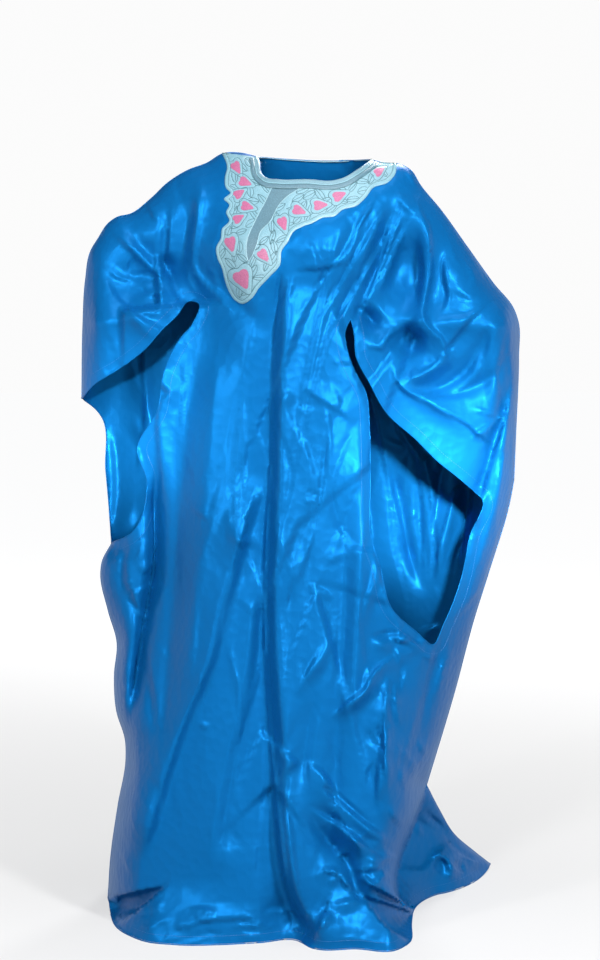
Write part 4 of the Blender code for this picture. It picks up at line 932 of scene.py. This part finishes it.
class Sheet:
    """One cloth sheet: its outline stretches, its depth and its mesh."""

    def __init__(self, stretches, holes, folds, creases, table, toward, turn=None, calm=None):
        self.lines = [soft_line(points, EDGE_STEP) for _kind, points in stretches]
        kinds = [kind for kind, _points in stretches]
        self.joined = [line for kind, line in zip(kinds, self.lines) if kind == "joined"]
        self.open = [line[:, :2] for kind, line in zip(kinds, self.lines) if kind != "joined"]
        self.loop = np.vstack([line[:-1, :2] for line in self.lines])
        self.holes = [soft_line(points + (points[0],), EDGE_STEP)[:-1] for points in holes]
        self.folds = folds
        self.creases = creases
        self.table = table
        self.toward = toward
        self.turn = turn
        self.calm = calm
        hem = self.lines[kinds.index("hem")][:, :2]
        self.hem_error = np.column_stack((hem, floor_depth(hem[:, 1]) - self.base_depth(hem)))
        self.corners = facet_points(self)
        self.corner_depths = self.base_depth(self.corners) + sway(self.corners)

    def keep(self, points):
        """Whether each point is on the cloth."""
        kept = inside(points, self.loop)
        for hole in self.holes:
            kept &= ~inside(points, hole)
        return kept

    def edges(self):
        """Every line round the cloth and round its holes."""
        return [line[:, :2] for line in self.lines] + [closed(hole) for hole in self.holes]

    def base_depth(self, points):
        """Depth of the sheet without its folds and its hem settled on the floor."""
        distance, _side, _along, edge = nearest(points, self.joined)
        target = self.table.read(points)
        if self.toward < 0:
            target = np.minimum(target, edge - FRONT_CLEAR)
            body = edge + (target - edge) * roll(distance, SIDE_ROLL)
            train = TRAIN_DEPTH + TRAIN_SLOPE * (points[:, 0] - TRAIN_FROM)
            tail = edge + (np.minimum(train, edge - TRAIN_CLEAR) - edge) * roll(distance, TAIL_ROLL)
            return self.turned(points, body, tail)
        x, drop = TRAIN_START
        train = ease((points[:, 1] - drop) / TRAIN_SOFT) * ease((points[:, 0] - x) / TRAIN_SOFT)
        target = np.maximum(target, edge + BACK_CLEAR - TRAIN_CLOSER * train)
        return edge + (target - edge) * roll(distance, SIDE_ROLL)

    def turned(self, points, body, tail):
        """Body depth that turns back at its lower right edge, with the train's depth beyond."""
        distance, side, _along, edge = nearest(points, [self.turn])
        near_turn = (points[:, 1] > self.turn[0, 1] - TURN_ABOVE) & (points[:, 0] > 0)
        rounded = edge + (body - edge) * roll(distance, TURN_ROLL)
        body = np.where(near_turn & (edge > body), np.maximum(body, rounded), body)
        beyond = (side > 0) & (points[:, 1] > self.turn[0, 1])
        share = np.clip(distance / TURN_STRIP, 0.0, 1.0)
        return np.where(beyond, edge + (tail - edge) * share, body)

    def calm_gap(self, points):
        """Distance from the part that stays calm under the yoke, zero on it."""
        if self.calm is None:
            return np.full(len(points), FAR)
        return np.where(inside(points, self.calm), 0.0, nearest(points, [closed(self.calm)])[0])

    def faceted(self, points, base, distance, below, calm_gap):
        """Depth of cloth that falls into flat facets away from its edges and its calm part."""
        share = past(distance, FACET_FROM_SEAM) * past(below, FACET_FROM_HEM)
        if self.turn is not None:
            share *= past(nearest(points, [self.turn])[0], FACET_FROM_TURN)
        share *= facet_share(points)
        share *= ease(calm_gap / FACET_CALM)
        used = np.nonzero(share > FACET_LEAST)[0]
        flat = np.zeros(len(used))
        for shift in FACET_SOFTEN:
            near = points[used] + np.array(shift)
            flat += facet_depth(self.corners, self.corner_depths, near, base[used]) / len(FACET_SOFTEN)
        base[used] += share[used] * (flat - base[used])
        return base

    def depth(self, points):
        """Depth of the finished sheet."""
        distance = nearest(points, self.joined)[0]
        below, _side, _along, error = nearest(points, [self.hem_error])
        calm_gap = self.calm_gap(points)
        base = self.faceted(points, self.base_depth(points), distance, below, calm_gap)
        at_hem = ease(below / HEM_EDGE)
        fade = ease(distance / FOLD_EDGE) * at_hem
        fine_fade = ease(distance / CREASE_EDGE) * (HEM_CREASES + (1 - HEM_CREASES) * at_hem)
        folds = fold_height(points, self.folds) * fade
        folds += crease_height(points, self.creases) * fine_fade * ease(calm_gap / CALM_EDGE)
        settle = error * (1 - ease(below / HEM_REACH)) * ease(distance / HEM_CORNER)
        depth = base + folds * self.toward + settle
        low = points[:, 1] > FLOOR_FROM
        depth = np.where(low, np.minimum(depth, floor_depth(points[:, 1])), depth)
        return depth + self.toward * SEAM_GAP / 2

    def ring_points(self):
        """Points beside the rounded edges, close together where the cloth turns fast."""
        found = []
        for line in self.joined:
            found.extend(self.beside(line, RINGS, self.joined))
        if self.turn is not None:
            found.extend(self.beside(self.turn[1:-1], TURN_RINGS, [self.turn]))
        return found

    def beside(self, line, offsets, keep_from):
        """Points at the given distances from a line, clear of its neighbours."""
        found = []
        middle = (line[1:, :2] + line[:-1, :2]) / 2
        step = np.diff(line[:, :2], axis=0)
        across = np.column_stack((-step[:, 1], step[:, 0])) / np.linalg.norm(step, axis=1)[:, None]
        for offset in offsets:
            points = middle - across * offset
            distance = nearest(points, keep_from)[0]
            free = nearest(points, self.edges())[0]
            good = self.keep(points) & (distance > abs(offset) * RING_APART)
            good &= free > RING_FREE * abs(offset)
            found.extend(points[good].tolist())
        return found

    def grid_points(self, clear_lines):
        """Staggered points over the whole sheet, clear of its edges and inner lines."""
        low = self.loop.min(axis=0)
        high = self.loop.max(axis=0)
        tall = GRID_STEP * ROW_SHARE
        rows = int((high[1] - low[1]) / tall) + 1
        columns = int((high[0] - low[0]) / GRID_STEP) + 1
        across, down = np.meshgrid(np.arange(columns), np.arange(rows))
        x = low[0] + (across + 0.5 * (down % 2)) * GRID_STEP
        points = np.column_stack((x.ravel(), (low[1] + down * tall).ravel()))
        points = points[self.keep(points)]
        points = points[nearest(points, self.joined)[0] > RINGS[-1] + GRID_CLEAR]
        return points[nearest(points, self.edges() + clear_lines)[0] > GRID_CLEAR]

    def crest_lines(self):
        """Parts of the creases' crests that lie on the sheet, clear of its edges."""
        lines = [soft_line(crease[1], CREST_STEP) for crease in list(self.folds) + self.creases]
        every = np.vstack(lines)
        free = self.keep(every) & (nearest(every, self.edges())[0] > CREST_CLEAR)
        if self.turn is not None:
            free &= nearest(every, [self.turn])[0] > CREST_CLEAR
        cuts = np.cumsum([len(line) for line in lines])[:-1]
        found = []
        for line, good in zip(lines, np.split(free, cuts)):
            found.extend(split_runs(line, good))
        return found

    def mesh_chains(self, inner_lines):
        """Points and edges that the mesh follows: the outline, the holes and the inner lines."""
        chains = [(self.loop, True)] + [(hole, True) for hole in self.holes]
        chains += [(line[:, :2], False) for line in inner_lines]
        points = []
        edges = []
        for chain, is_loop in chains:
            first = len(points)
            count = len(chain)
            points.extend(tuple(point) for point in chain)
            edges.extend((index, index + 1) for index in range(first, first + count - 1))
            if is_loop:
                edges.append((first + count - 1, first))
        return points, edges

    def build(self):
        """Triangulate the sheet, with its crests as edges of the mesh, and place its outer face."""
        inner_lines = self.crest_lines()
        if self.turn is not None:
            inner_lines.append(self.turn)
        points, edges = self.mesh_chains(inner_lines)
        points += [tuple(point) for point in self.ring_points()]
        points += [tuple(point) for point in self.grid_points(inner_lines)]
        self.flat, triangles = triangulated(points, edges)
        self.triangles = triangles[self.keep(self.flat[triangles].mean(axis=1))]
        self.trim_flat()
        self.outer = place(self.flat, self.depth(self.flat))
        self.outer[:, 2] = np.maximum(self.outer[:, 2], (FLOOR_HEIGHT + FLOOR_LIFT) * MM)

    def trim_flat(self):
        """Drop unused points and make every triangle face outward."""
        used = np.unique(self.triangles)
        renumber = np.full(len(self.flat), -1)
        renumber[used] = np.arange(len(used))
        self.flat = self.flat[used]
        self.triangles = renumber[self.triangles]
        corner = self.flat[self.triangles]
        first = corner[:, 1] - corner[:, 0]
        second = corner[:, 2] - corner[:, 0]
        area = first[:, 0] * second[:, 1] - first[:, 1] * second[:, 0]
        wrong = (area > 0) if self.toward < 0 else (area < 0)
        self.triangles[wrong] = self.triangles[wrong][:, ::-1]


def outline_stretches(opening, hem, neck):
    """A sheet's outline in order, each stretch with its kind."""
    return (
        ("joined", RIDGE_LEFT), ("free", opening), ("joined", SIDE_LEFT), ("hem", hem),
        ("joined", TRAIN_SIDE), ("joined", SIDE_RIGHT_LOW), ("joined", SIDE_RIGHT_UP), ("free", neck))


def front_sheet():
    """The front cloth, which turns back at its lower right and stays calm under the yoke."""
    stretches = outline_stretches(NOTCH_LEFT, HEM_FRONT, NECK_FRONT)
    creases = grown(FRONT_CREASES) + crumples(FRONT_CRUMPLES, FRONT_SEED)
    turn = soft_line(TURN_LINE, EDGE_STEP)
    calm = np.vstack((soft_line(APPLIQUE, CALM_STEP), soft_line(NECK_FRONT, CALM_STEP)))
    table = DepthTable(FRONT_DROP, FRONT_DEPTH)
    return Sheet(stretches, (HOLE_RIGHT,), FRONT_FOLDS, creases, table, -1, turn, calm)


def back_sheet():
    """The back cloth, with the creases that show on its inside."""
    stretches = outline_stretches(RIM_LEFT, HEM_BACK, NECK_BACK)
    creases = [(name, path, left, right, -height, start, end)
               for name, path, left, right, height, start, end in grown(CAVITY_CREASES)]
    creases += grown(BACK_CREASES) + crumples(BACK_CRUMPLES, BACK_SEED)
    return Sheet(stretches, (), BACK_FOLDS, creases, DepthTable(BACK_DROP, BACK_DEPTH), 1)


def mesh_object(name, points, faces, material, smooth=True):
    """A new mesh object with one material."""
    mesh = bpy.data.meshes.new(name)
    mesh.from_pydata(points.tolist(), [], [tuple(int(v) for v in face) for face in faces])
    mesh.update()
    mesh.materials.append(material)
    if smooth:
        mesh.shade_smooth()
    return add_object(name, mesh)


def add_object(name, data):
    """A new object linked into the scene."""
    made = bpy.data.objects.new(name, data)
    bpy.context.scene.collection.objects.link(made)
    return made


def lifted(sheet, points, lift):
    """Points moved straight out from a sheet's outer face, with the directions out of it."""
    points = np.asarray(points, float)[:, :2]
    side = points + np.array((PROBE_STEP, 0))
    down = points + np.array((0, PROBE_STEP))
    every = np.vstack((points, side, down))
    middle, beside, below = np.split(place(every, sheet.depth(every)), 3)
    normal = unit(np.cross(beside - middle, below - middle) * -sheet.toward)
    flip = (normal[:, 1] * sheet.toward < LEAST_FACING)[:, None]
    normal = np.where(flip, -normal, normal)
    return middle + normal * np.asarray(lift, float).reshape(-1, 1) * MM, normal


def strip_faces(rows, columns, first=0):
    """Four-sided faces between neighbours in rows of points."""
    starts = [first + row * columns + column for row in range(rows - 1) for column in range(columns - 1)]
    return [(start, start + 1, start + 1 + columns, start + columns) for start in starts]


def cords(name, sheet, lines, size, material, around=CORD_AROUND):
    """Thin cords along lines on a sheet, their size given as radius and lift."""
    radius, lift = size
    points = []
    faces = []
    angles = [math.radians(angle) for angle in around]
    cuts = np.cumsum([len(line) for line in lines])[:-1]
    every_middle, every_normal = lifted(sheet, np.vstack([line[:, :2] for line in lines]), lift)
    for middle, normal in zip(np.split(every_middle, cuts), np.split(every_normal, cuts)):
        across = np.cross(unit(np.gradient(middle, axis=0)), normal)
        faces += strip_faces(len(middle), len(angles), len(points))
        for spot, level, out in zip(middle, across, normal):
            points += [spot + (level * math.cos(angle) + out * math.sin(angle)) * radius * MM
                       for angle in angles]
    return mesh_object(name, np.array(points), faces, material)


def tube(name, middle, radius, material):
    """Closed round tube along a line in space."""
    way = unit(np.gradient(middle, axis=0))
    across = unit(np.cross(way, np.array((0.0, 1.0, 0.0))))
    out = np.cross(across, way)
    angles = [math.radians(angle) for angle in range(0, 360, 360 // SEAM_SIDES)]
    rings = [across * math.cos(angle) + out * math.sin(angle) for angle in angles]
    points = np.vstack([middle + radius * ring for ring in rings])
    length = len(middle)
    faces = strip_faces(SEAM_SIDES, length)
    last = (SEAM_SIDES - 1) * length
    faces += [(last + index, last + index + 1, index + 1, index) for index in range(length - 1)]
    faces.append([side * length for side in range(SEAM_SIDES)])
    faces.append([side * length + length - 1 for side in reversed(range(SEAM_SIDES))])
    return mesh_object(name, points, faces, material)


def binding(name, sheet, line, material, profile):
    """Band along the neck, whose profile says how far each of its lines is from the edge and lifted."""
    shifted = np.vstack([offset_line(line[:, :2], offset) for offset, _lift in profile])
    placed, _normal = lifted(sheet, shifted, np.repeat([lift for _offset, lift in profile], len(line)))
    return mesh_object(name, placed, strip_faces(len(profile), len(line)), material)


def dashes(line):
    """Short stitches along a line."""
    runs = lengths_along(line)
    found = []
    for start in np.arange(0.0, runs[-1] - STITCH_LENGTH, STITCH_LENGTH + STITCH_GAP):
        places = np.linspace(start, start + STITCH_LENGTH, STITCH_POINTS)
        found.append(np.column_stack([np.interp(places, runs, line[:, axis]) for axis in (0, 1)]))
    return found


def split_runs(line, good):
    """Stretches of a line whose points are all good."""
    runs = []
    run = []
    for point, fine in zip(line, good):
        if fine:
            run.append(point)
            continue
        if len(run) > SHORTEST_RUN:
            runs.append(np.array(run))
        run = []
    if len(run) > SHORTEST_RUN:
        runs.append(np.array(run))
    return runs


def offset_line(line, distance):
    """A line moved sideways in the drawing."""
    step = np.gradient(line, axis=0)
    across = np.column_stack((step[:, 1], -step[:, 0])) / np.linalg.norm(step, axis=1)[:, None]
    return line + across * distance


def hem_work(name, sheet, cloth, thread):
    """Rolled edge along the cut edges of a sheet, and a row of stitches inside them."""
    lines = sheet.open + [closed(hole) for hole in sheet.holes]
    edge = cords(name + "_roll", sheet, lines, (HEM_CORD, HEM_SINK), cloth, HEM_AROUND)
    rows = []
    for line in lines:
        for side in (1, -1):
            beside = offset_line(line, side * HEM_DEPTH)
            free = nearest(beside, sheet.edges())[0] > RING_APART * HEM_DEPTH
            for run in split_runs(beside, sheet.keep(beside) & free):
                rows.extend(dashes(run))
    sewn = cords(name + "_stitches", sheet, rows, (STITCH_RADIUS, STITCH_LIFT), thread)
    for piece in (edge, sewn):
        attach(piece, "root")
    return [edge, sewn]


def seam_work(sheet, cloth):
    """Covered seam where the two cloths meet along the shoulders, the sleeves and the sides."""
    for index, line in enumerate(sheet.joined):
        points = place(line[:, :2], line[:, 2])
        seam = tube("seam_%d" % (index + 1), points, SEAM_RADIUS * MM, cloth)
        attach(seam, "root")


def build_cloth(name, sheet, cloth, thread):
    """One panel's fine cloth with its hems."""
    sheet.build()
    piece = mesh_object(name + "_cloth", sheet.outer, sheet.triangles, cloth)
    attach(piece, "root")
    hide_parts(name + "_panel")
    sewn = hem_work(name + "_hem", sheet, cloth, thread)


def patch(name, sheet, loop, grid, holes, relief, material):
    """A fine piece of cloth laid on a sheet inside a loop, with its own relief."""
    low = loop.min(axis=0)
    high = loop.max(axis=0)
    rows = np.arange(low[1], high[1], grid * PATCH_ROWS)
    across, down = np.meshgrid(np.arange(low[0], high[0], grid), rows)
    across = across + 0.5 * grid * (np.arange(across.shape[0]) % 2)[:, None]
    points = np.column_stack((across.ravel(), down.ravel()))
    points = points[inside(points, loop)]
    points = points[nearest(points, [closed(loop)])[0] > PATCH_CLEAR * grid]
    count = len(loop)
    edges = [(index, (index + 1) % count) for index in range(count)]
    spots, triangles = triangulated(np.vstack((loop, points)), edges)
    middle = spots[triangles].mean(axis=1)
    kept = inside(middle, loop)
    for hole in holes:
        kept &= ~inside(middle, hole)
    placed, _normal = lifted(sheet, spots, relief(spots))
    return mesh_object(name, placed, triangles[kept][:, ::-1], material)


def turned_shape(row, along, across):
    """Outline points given along and across a shape, placed by its row's x, drop and angle."""
    x, drop, _length, _width, angle = row
    turn = math.radians(angle)
    return np.column_stack((x + along * math.cos(turn) - across * math.sin(turn),
                            drop + along * math.sin(turn) + across * math.cos(turn)))


def petal_shape(petal, grow, count):
    """Outline of a heart-like petal patch."""
    _x, _drop, length, width, _angle = petal
    way = np.linspace(0, 2 * math.pi, count, endpoint=False)
    dent = np.exp(-((way - math.pi) / PETAL_DENT_WIDTH) ** 2)
    reach = 1 + PETAL_LOBES * np.cos(3 * way) - PETAL_DENT * dent
    along = 0.5 * length * grow * np.cos(way) * reach
    across = 0.5 * width * grow * np.sin(way) * (1 - PETAL_TAPER * np.cos(way)) * reach
    return turned_shape(petal, along, across)


def leaf_lines(leaf):
    """Outline and middle vein of one pointed leaf."""
    _x, _drop, length, width, _angle = leaf
    along = np.linspace(-0.5, 0.5, LEAF_POINTS)
    bulge = 0.5 * width * (1 - (2 * along) ** 2) ** LEAF_POWER
    vein = VEIN_BEND * width * np.sin(along * VEIN_WAVE)
    return [turned_shape(leaf, along * length, across) for across in (bulge, -bulge, vein)]


def yoke_leaves(loop, placket):
    """Leaves spread over the yoke, each leaning along the nearest edge."""
    chance = np.random.default_rng(LEAF_SEED)
    edge = closed(loop)
    low = loop.min(axis=0)
    spots = low + (loop.max(axis=0) - low) * chance.random((LEAF_TRIES, 2))
    distance, _side, along, _depth = nearest(spots, [edge])
    good = inside(spots, loop) & ~inside(spots, placket) & (distance > LEAF_FROM_EDGE)
    last = len(edge) - 1 - LEAF_SPAN
    places = np.clip(np.searchsorted(lengths_along(edge), along), LEAF_SPAN, last)
    kept = []
    for spot, at in zip(spots[good], places[good]):
        if any(math.dist(spot, leaf[:2]) < LEAF_SPACING for leaf in kept):
            continue
        way = edge[at + LEAF_SPAN] - edge[at - LEAF_SPAN]
        lean = chance.uniform(*LEAF_LEAN) * chance.choice((-1, 1))
        angle = math.degrees(math.atan2(way[1], way[0])) + lean
        kept.append((spot[0], spot[1], chance.uniform(*LEAF_LENGTH), chance.uniform(*LEAF_WIDTH), angle))
    return kept


def yoke_lines(loop, outline, placket):
    """Stitched lines of the yoke: its leaves, the cells round its petals and its border."""
    cells = [petal_shape(petal, CELL_GROW, CELL_COUNT) for petal in PETALS]
    leaves = [line for leaf in yoke_leaves(loop, placket) for line in leaf_lines(leaf)]
    lines = []
    for line in leaves:
        good = inside(line, loop) & ~inside(line, placket) & (nearest(line, [outline])[0] > LEAF_MARGIN)
        for cell in cells:
            good &= ~inside(line, cell)
        lines.extend(split_runs(line, good))
    for cell in cells:
        ring = closed(cell)
        good = inside(ring, loop) & ~inside(ring, placket) & (nearest(ring, [outline])[0] > CELL_MARGIN)
        lines.extend(split_runs(ring, good))
    border = offset_line(outline, SATIN_EDGE)
    good = inside(border, loop) & (nearest(border, [outline])[0] > SATIN_EDGE * RING_APART)
    lines.extend(split_runs(border, good))
    return lines


def yoke_relief(outline, lines):
    """How far the yoke lifts: a raised satin edge, and puffs between the stitched lines."""

    def relief(points):
        from_edge = nearest(points, [outline])[0]
        from_line = nearest(points, lines)[0]
        satin = np.sqrt(np.clip(1 - ((from_edge - SATIN_MIDDLE) / SATIN_HALF) ** 2, 0.0, 1.0))
        puff = 1 - np.exp(-from_line / PUFF_REACH)
        raised = np.where(from_edge < SATIN_EDGE, SATIN_TALL * satin, PUFF_TALL * puff)
        return YOKE_LIFT + raised - RIM_SINK * (from_edge < RIM_WIDTH)

    return relief


def petal_relief(petal):
    """How far a petal patch lifts: a low dome with a stitched ripple."""
    middle = np.array(petal[:2])
    reach = petal[3]

    def relief(points):
        apart = np.linalg.norm(points - middle, axis=1)
        ripple = PETAL_RIPPLE * np.sin(points @ np.array(PETAL_WAVE))
        return PETAL_LIFT + PETAL_DOME * np.clip(1 - (apart / reach) ** 2, 0.0, 1.0) + ripple

    return relief


def build_yoke(front, shades):
    """Applique yoke, its stitched lines, petals and placket, as pieces each paired with a slot name."""
    outline = soft_line(APPLIQUE, OUTLINE_STEP)
    inner = offset_line(soft_line(NECK_FRONT, NECK_STEP), BINDING_WIDTH - NECK_OVERLAP)
    loop = np.vstack((outline, inner))
    placket = soft_line(PLACKET + (PLACKET[0],), PLACKET_STEP)[:-1]
    lines = yoke_lines(loop, outline, placket)
    relief = yoke_relief(outline, lines + [closed(placket)])
    yoke = patch("applique_yoke", front, loop, YOKE_GRID, [placket], relief, shades["aqua"])
    stitch = cords("applique_stitches", front, lines, YOKE_CORD, shades["stitch"])
    plain = patch("placket_cloth", front, placket, PLACKET_STEP, [],
                  lambda points: np.full(len(points), PLACKET_LIFT), shades["placket"])
    round_placket = [np.vstack((placket, placket[:2]))]
    edge = cords("placket_edge", front, round_placket, PLACKET_CORD, shades["pale"])
    petals = []
    for index, petal in enumerate(PETALS):
        shape = petal_shape(petal, PETAL_GROW, PETAL_COUNT)
        name = "petal_patch_%02d" % (index + 1)
        petals.append(patch(name, front, shape, PETAL_GRID, [], petal_relief(petal), shades["pink"]))
    for index, piece in enumerate(petals):
        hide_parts("petal_%02d" % (index + 1))
    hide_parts("neck_applique")
    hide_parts("neck_placket")
    rows = [(yoke, "aqua_applique"), (stitch, "grey_teal_placket"), (plain, "grey_teal_placket"),
            (edge, "aqua_applique")]
    return rows + [(piece, "pink_petal") for piece in petals]


def build_neck(name, sheet, neck, shades):
    """Rolled band and stripe along one side of the neck, as pieces each paired with a slot name."""
    line = soft_line(neck, NECK_STEP)
    band = binding("neck_band_" + name, sheet, line, shades["band"], BAND_PROFILE)
    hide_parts("neck_binding_" + name)
    stripe = binding("neck_stripe_" + name, sheet, line, shades["placket"], STRIPE_PROFILE)
    rims = [offset_line(line[:, :2], offset) for offset in STRIPE_RIMS]
    rim = cords("neck_line_" + name, sheet, rims, RIM_CORD, shades["stitch"])
    return [(band, "teal_binding"), (stripe, "grey_teal_placket"), (rim, "grey_teal_placket")]


def new_material(name):
    """A new material, its node tree and its shader."""
    material = bpy.data.materials.new(name)
    material.use_nodes = True
    tree = material.node_tree
    return material, tree, tree.nodes["Principled BSDF"]


def set_values(node, values):
    """Put each value on the socket it is named for."""
    for socket, value in values.items():
        node.inputs[socket].default_value = value


def add_node(tree, kind, values, sources, **settings):
    """A new node with its settings, the values on its sockets and what is linked into them."""
    made = tree.nodes.new(kind)
    for setting, value in settings.items():
        setattr(made, setting, value)
    set_values(made, values)
    for socket, source in sources.items():
        tree.links.new(source, made.inputs[socket])
    return made


def satin_material(name, colour, rough, grain):
    """Satin thread: fine stitched grain and a little unevenness of colour."""
    material, tree, shader = new_material(name)
    set_values(shader, {"Roughness": rough})
    spot = add_node(tree, "ShaderNodeTexCoord", {}, {}).outputs["Object"]
    speck = add_node(tree, "ShaderNodeTexNoise", {"Scale": grain, "Detail": 3.0}, {"Vector": spot})
    shade = add_node(tree, "ShaderNodeValToRGB", {}, {"Fac": speck.outputs["Fac"]})
    for element, (position, strength) in zip(shade.color_ramp.elements, SATIN_RAMP):
        element.position = position
        element.color = tuple(value * strength for value in colour) + (1,)
    tree.links.new(shade.outputs["Color"], shader.inputs["Base Color"])
    bump = add_node(tree, "ShaderNodeBump", {"Strength": 0.35, "Distance": 0.0006},
                    {"Height": speck.outputs["Fac"]})
    tree.links.new(bump.outputs["Normal"], shader.inputs["Normal"])
    return material


def cloth_material():
    """Glazed blue cloth: tinted shine, uneven polish and faint hairlines."""
    material, tree, shader = new_material("polished_blue_cloth")
    set_values(shader, {
        "Base Color": (0.002, 0.082, 0.245, 1), "Metallic": 0.28, "Roughness": CLOTH_ROUGH,
        "Specular Tint": (0.06, 0.38, 0.78, 1), "Specular IOR Level": 0.16})
    spot = add_node(tree, "ShaderNodeTexCoord", {}, {}).outputs["Object"]
    stretch = add_node(tree, "ShaderNodeMapping", {"Scale": (90, 90, 9)}, {"Vector": spot})
    crush = add_node(tree, "ShaderNodeTexVoronoi", {"Scale": 55.0, "Smoothness": 0.25}, {"Vector": spot},
                     feature="SMOOTH_F1")
    hairs = add_node(tree, "ShaderNodeTexNoise", {"Scale": 1.0, "Detail": 4.0},
                     {"Vector": stretch.outputs["Vector"]})
    bump = add_node(tree, "ShaderNodeBump", {"Strength": 0.16, "Distance": 0.002},
                    {"Height": hairs.outputs["Fac"]})
    crushed = add_node(tree, "ShaderNodeBump", {"Strength": 0.22, "Distance": 0.004},
                       {"Height": crush.outputs["Distance"], "Normal": bump.outputs["Normal"]})
    tree.links.new(crushed.outputs["Normal"], shader.inputs["Normal"])
    patches = add_node(tree, "ShaderNodeTexNoise", {"Scale": 7.0, "Detail": 3.0}, {"Vector": spot})
    polish = add_node(tree, "ShaderNodeMapRange", {"To Min": SMOOTHEST, "To Max": ROUGHEST},
                      {"Value": patches.outputs["Fac"]})
    tree.links.new(polish.outputs["Result"], shader.inputs["Roughness"])
    return material


def add_lamp(name, kind, place_at, aim, power):
    """A lamp that looks from its place at its aim."""
    data = bpy.data.lights.new(name, kind)
    data.energy = power
    lamp = add_object(name, data)
    lamp.location = place_at
    lamp.rotation_euler = (Vector(aim) - Vector(place_at)).to_track_quat("-Z", "Y").to_euler()
    return data


def set_lamps():
    """Place the lamps of both tables."""
    for name, place_at, aim, size, power in LAMPS:
        data = add_lamp(name, "AREA", place_at, aim, power)
        data.shape = "RECTANGLE"
        data.size, data.size_y = size
    for name, place_at, aim, angle, power in SPOTS:
        data = add_lamp(name, "SPOT", place_at, aim, power)
        data.spot_size = math.radians(angle)
        data.spot_blend = SPOT_BLEND
        data.shadow_soft_size = SPOT_RADIUS


def set_world():
    """White near the level of the eye and dimmer above, so that the cloth keeps its contrast."""
    world = bpy.data.worlds.new("studio_world")
    bpy.context.scene.world = world
    world.use_nodes = True
    tree = world.node_tree
    spot = add_node(tree, "ShaderNodeTexCoord", {}, {}).outputs["Generated"]
    parts = add_node(tree, "ShaderNodeSeparateXYZ", {}, {"Vector": spot})
    ramp = add_node(tree, "ShaderNodeValToRGB", {}, {"Fac": parts.outputs["Z"]})
    for element, (position, colour) in zip(ramp.color_ramp.elements, WORLD_RAMP):
        element.position = position
        element.color = colour
    tree.links.new(ramp.outputs["Color"], tree.nodes["Background"].inputs["Color"])
    set_values(tree.nodes["Background"], {"Strength": 1.0})


def set_floor():
    """Pale floor that glows a little more away from the robe."""
    material, tree, shader = new_material("studio_white")
    set_values(shader, {
        "Base Color": (0.20, 0.20, 0.20, 1), "Roughness": 0.95, "Specular IOR Level": 0.0,
        "Emission Color": (1, 1, 1, 1)})
    spot = add_node(tree, "ShaderNodeTexCoord", {}, {}).outputs["Object"]
    apart = add_node(tree, "ShaderNodeVectorMath", {}, {0: spot}, operation="LENGTH")
    glow = add_node(tree, "ShaderNodeMapRange",
                    {"From Min": 1.5, "From Max": 4.5, "To Min": 0.55, "To Max": 0.95},
                    {"Value": apart.outputs["Value"]})
    tree.links.new(glow.outputs["Result"], shader.inputs["Emission Strength"])
    corners = ((-1, -1), (1, -1), (1, 1), (-1, 1))
    points = np.array([(x * FLOOR_SIZE, y * FLOOR_SIZE, FLOOR_HEIGHT * MM) for x, y in corners])
    mesh_object("studio_floor", points, [(0, 1, 2, 3)], material, False)


def set_camera():
    """Put the camera where the tables are seen from."""
    data = bpy.data.cameras.new("camera")
    data.lens = LENS
    data.sensor_width = SENSOR_WIDTH
    data.shift_y = CAMERA_SHIFT
    camera = add_object("camera", data)
    camera.location = (CAMERA_X, -VIEW_DISTANCE * MM, EYE_HEIGHT * MM)
    camera.rotation_euler = (math.radians(90), 0, 0)
    bpy.context.scene.camera = camera
    bpy.context.scene.view_settings.view_transform = "Standard"


def clear_start():
    """Remove what a new scene holds."""
    for item in list(bpy.data.objects):
        bpy.data.objects.remove(item)


def main():
    clear_start()
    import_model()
    blue = cloth_material()
    shades = {key: satin_material(*row) for key, *row in SATINS}
    front = front_sheet()
    back = back_sheet()
    build_cloth("front", front, blue, shades["thread"])
    build_cloth("back", back, blue, shades["thread"])
    seam_work(front, blue)
    rows = build_yoke(front, shades)
    rows += build_neck("front", front, NECK_FRONT, shades)
    rows += build_neck("back", back, NECK_BACK, shades)
    for piece, slot in rows:
        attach(piece, "root")
    set_floor()
    set_world()
    set_lamps()
    set_camera()


main()
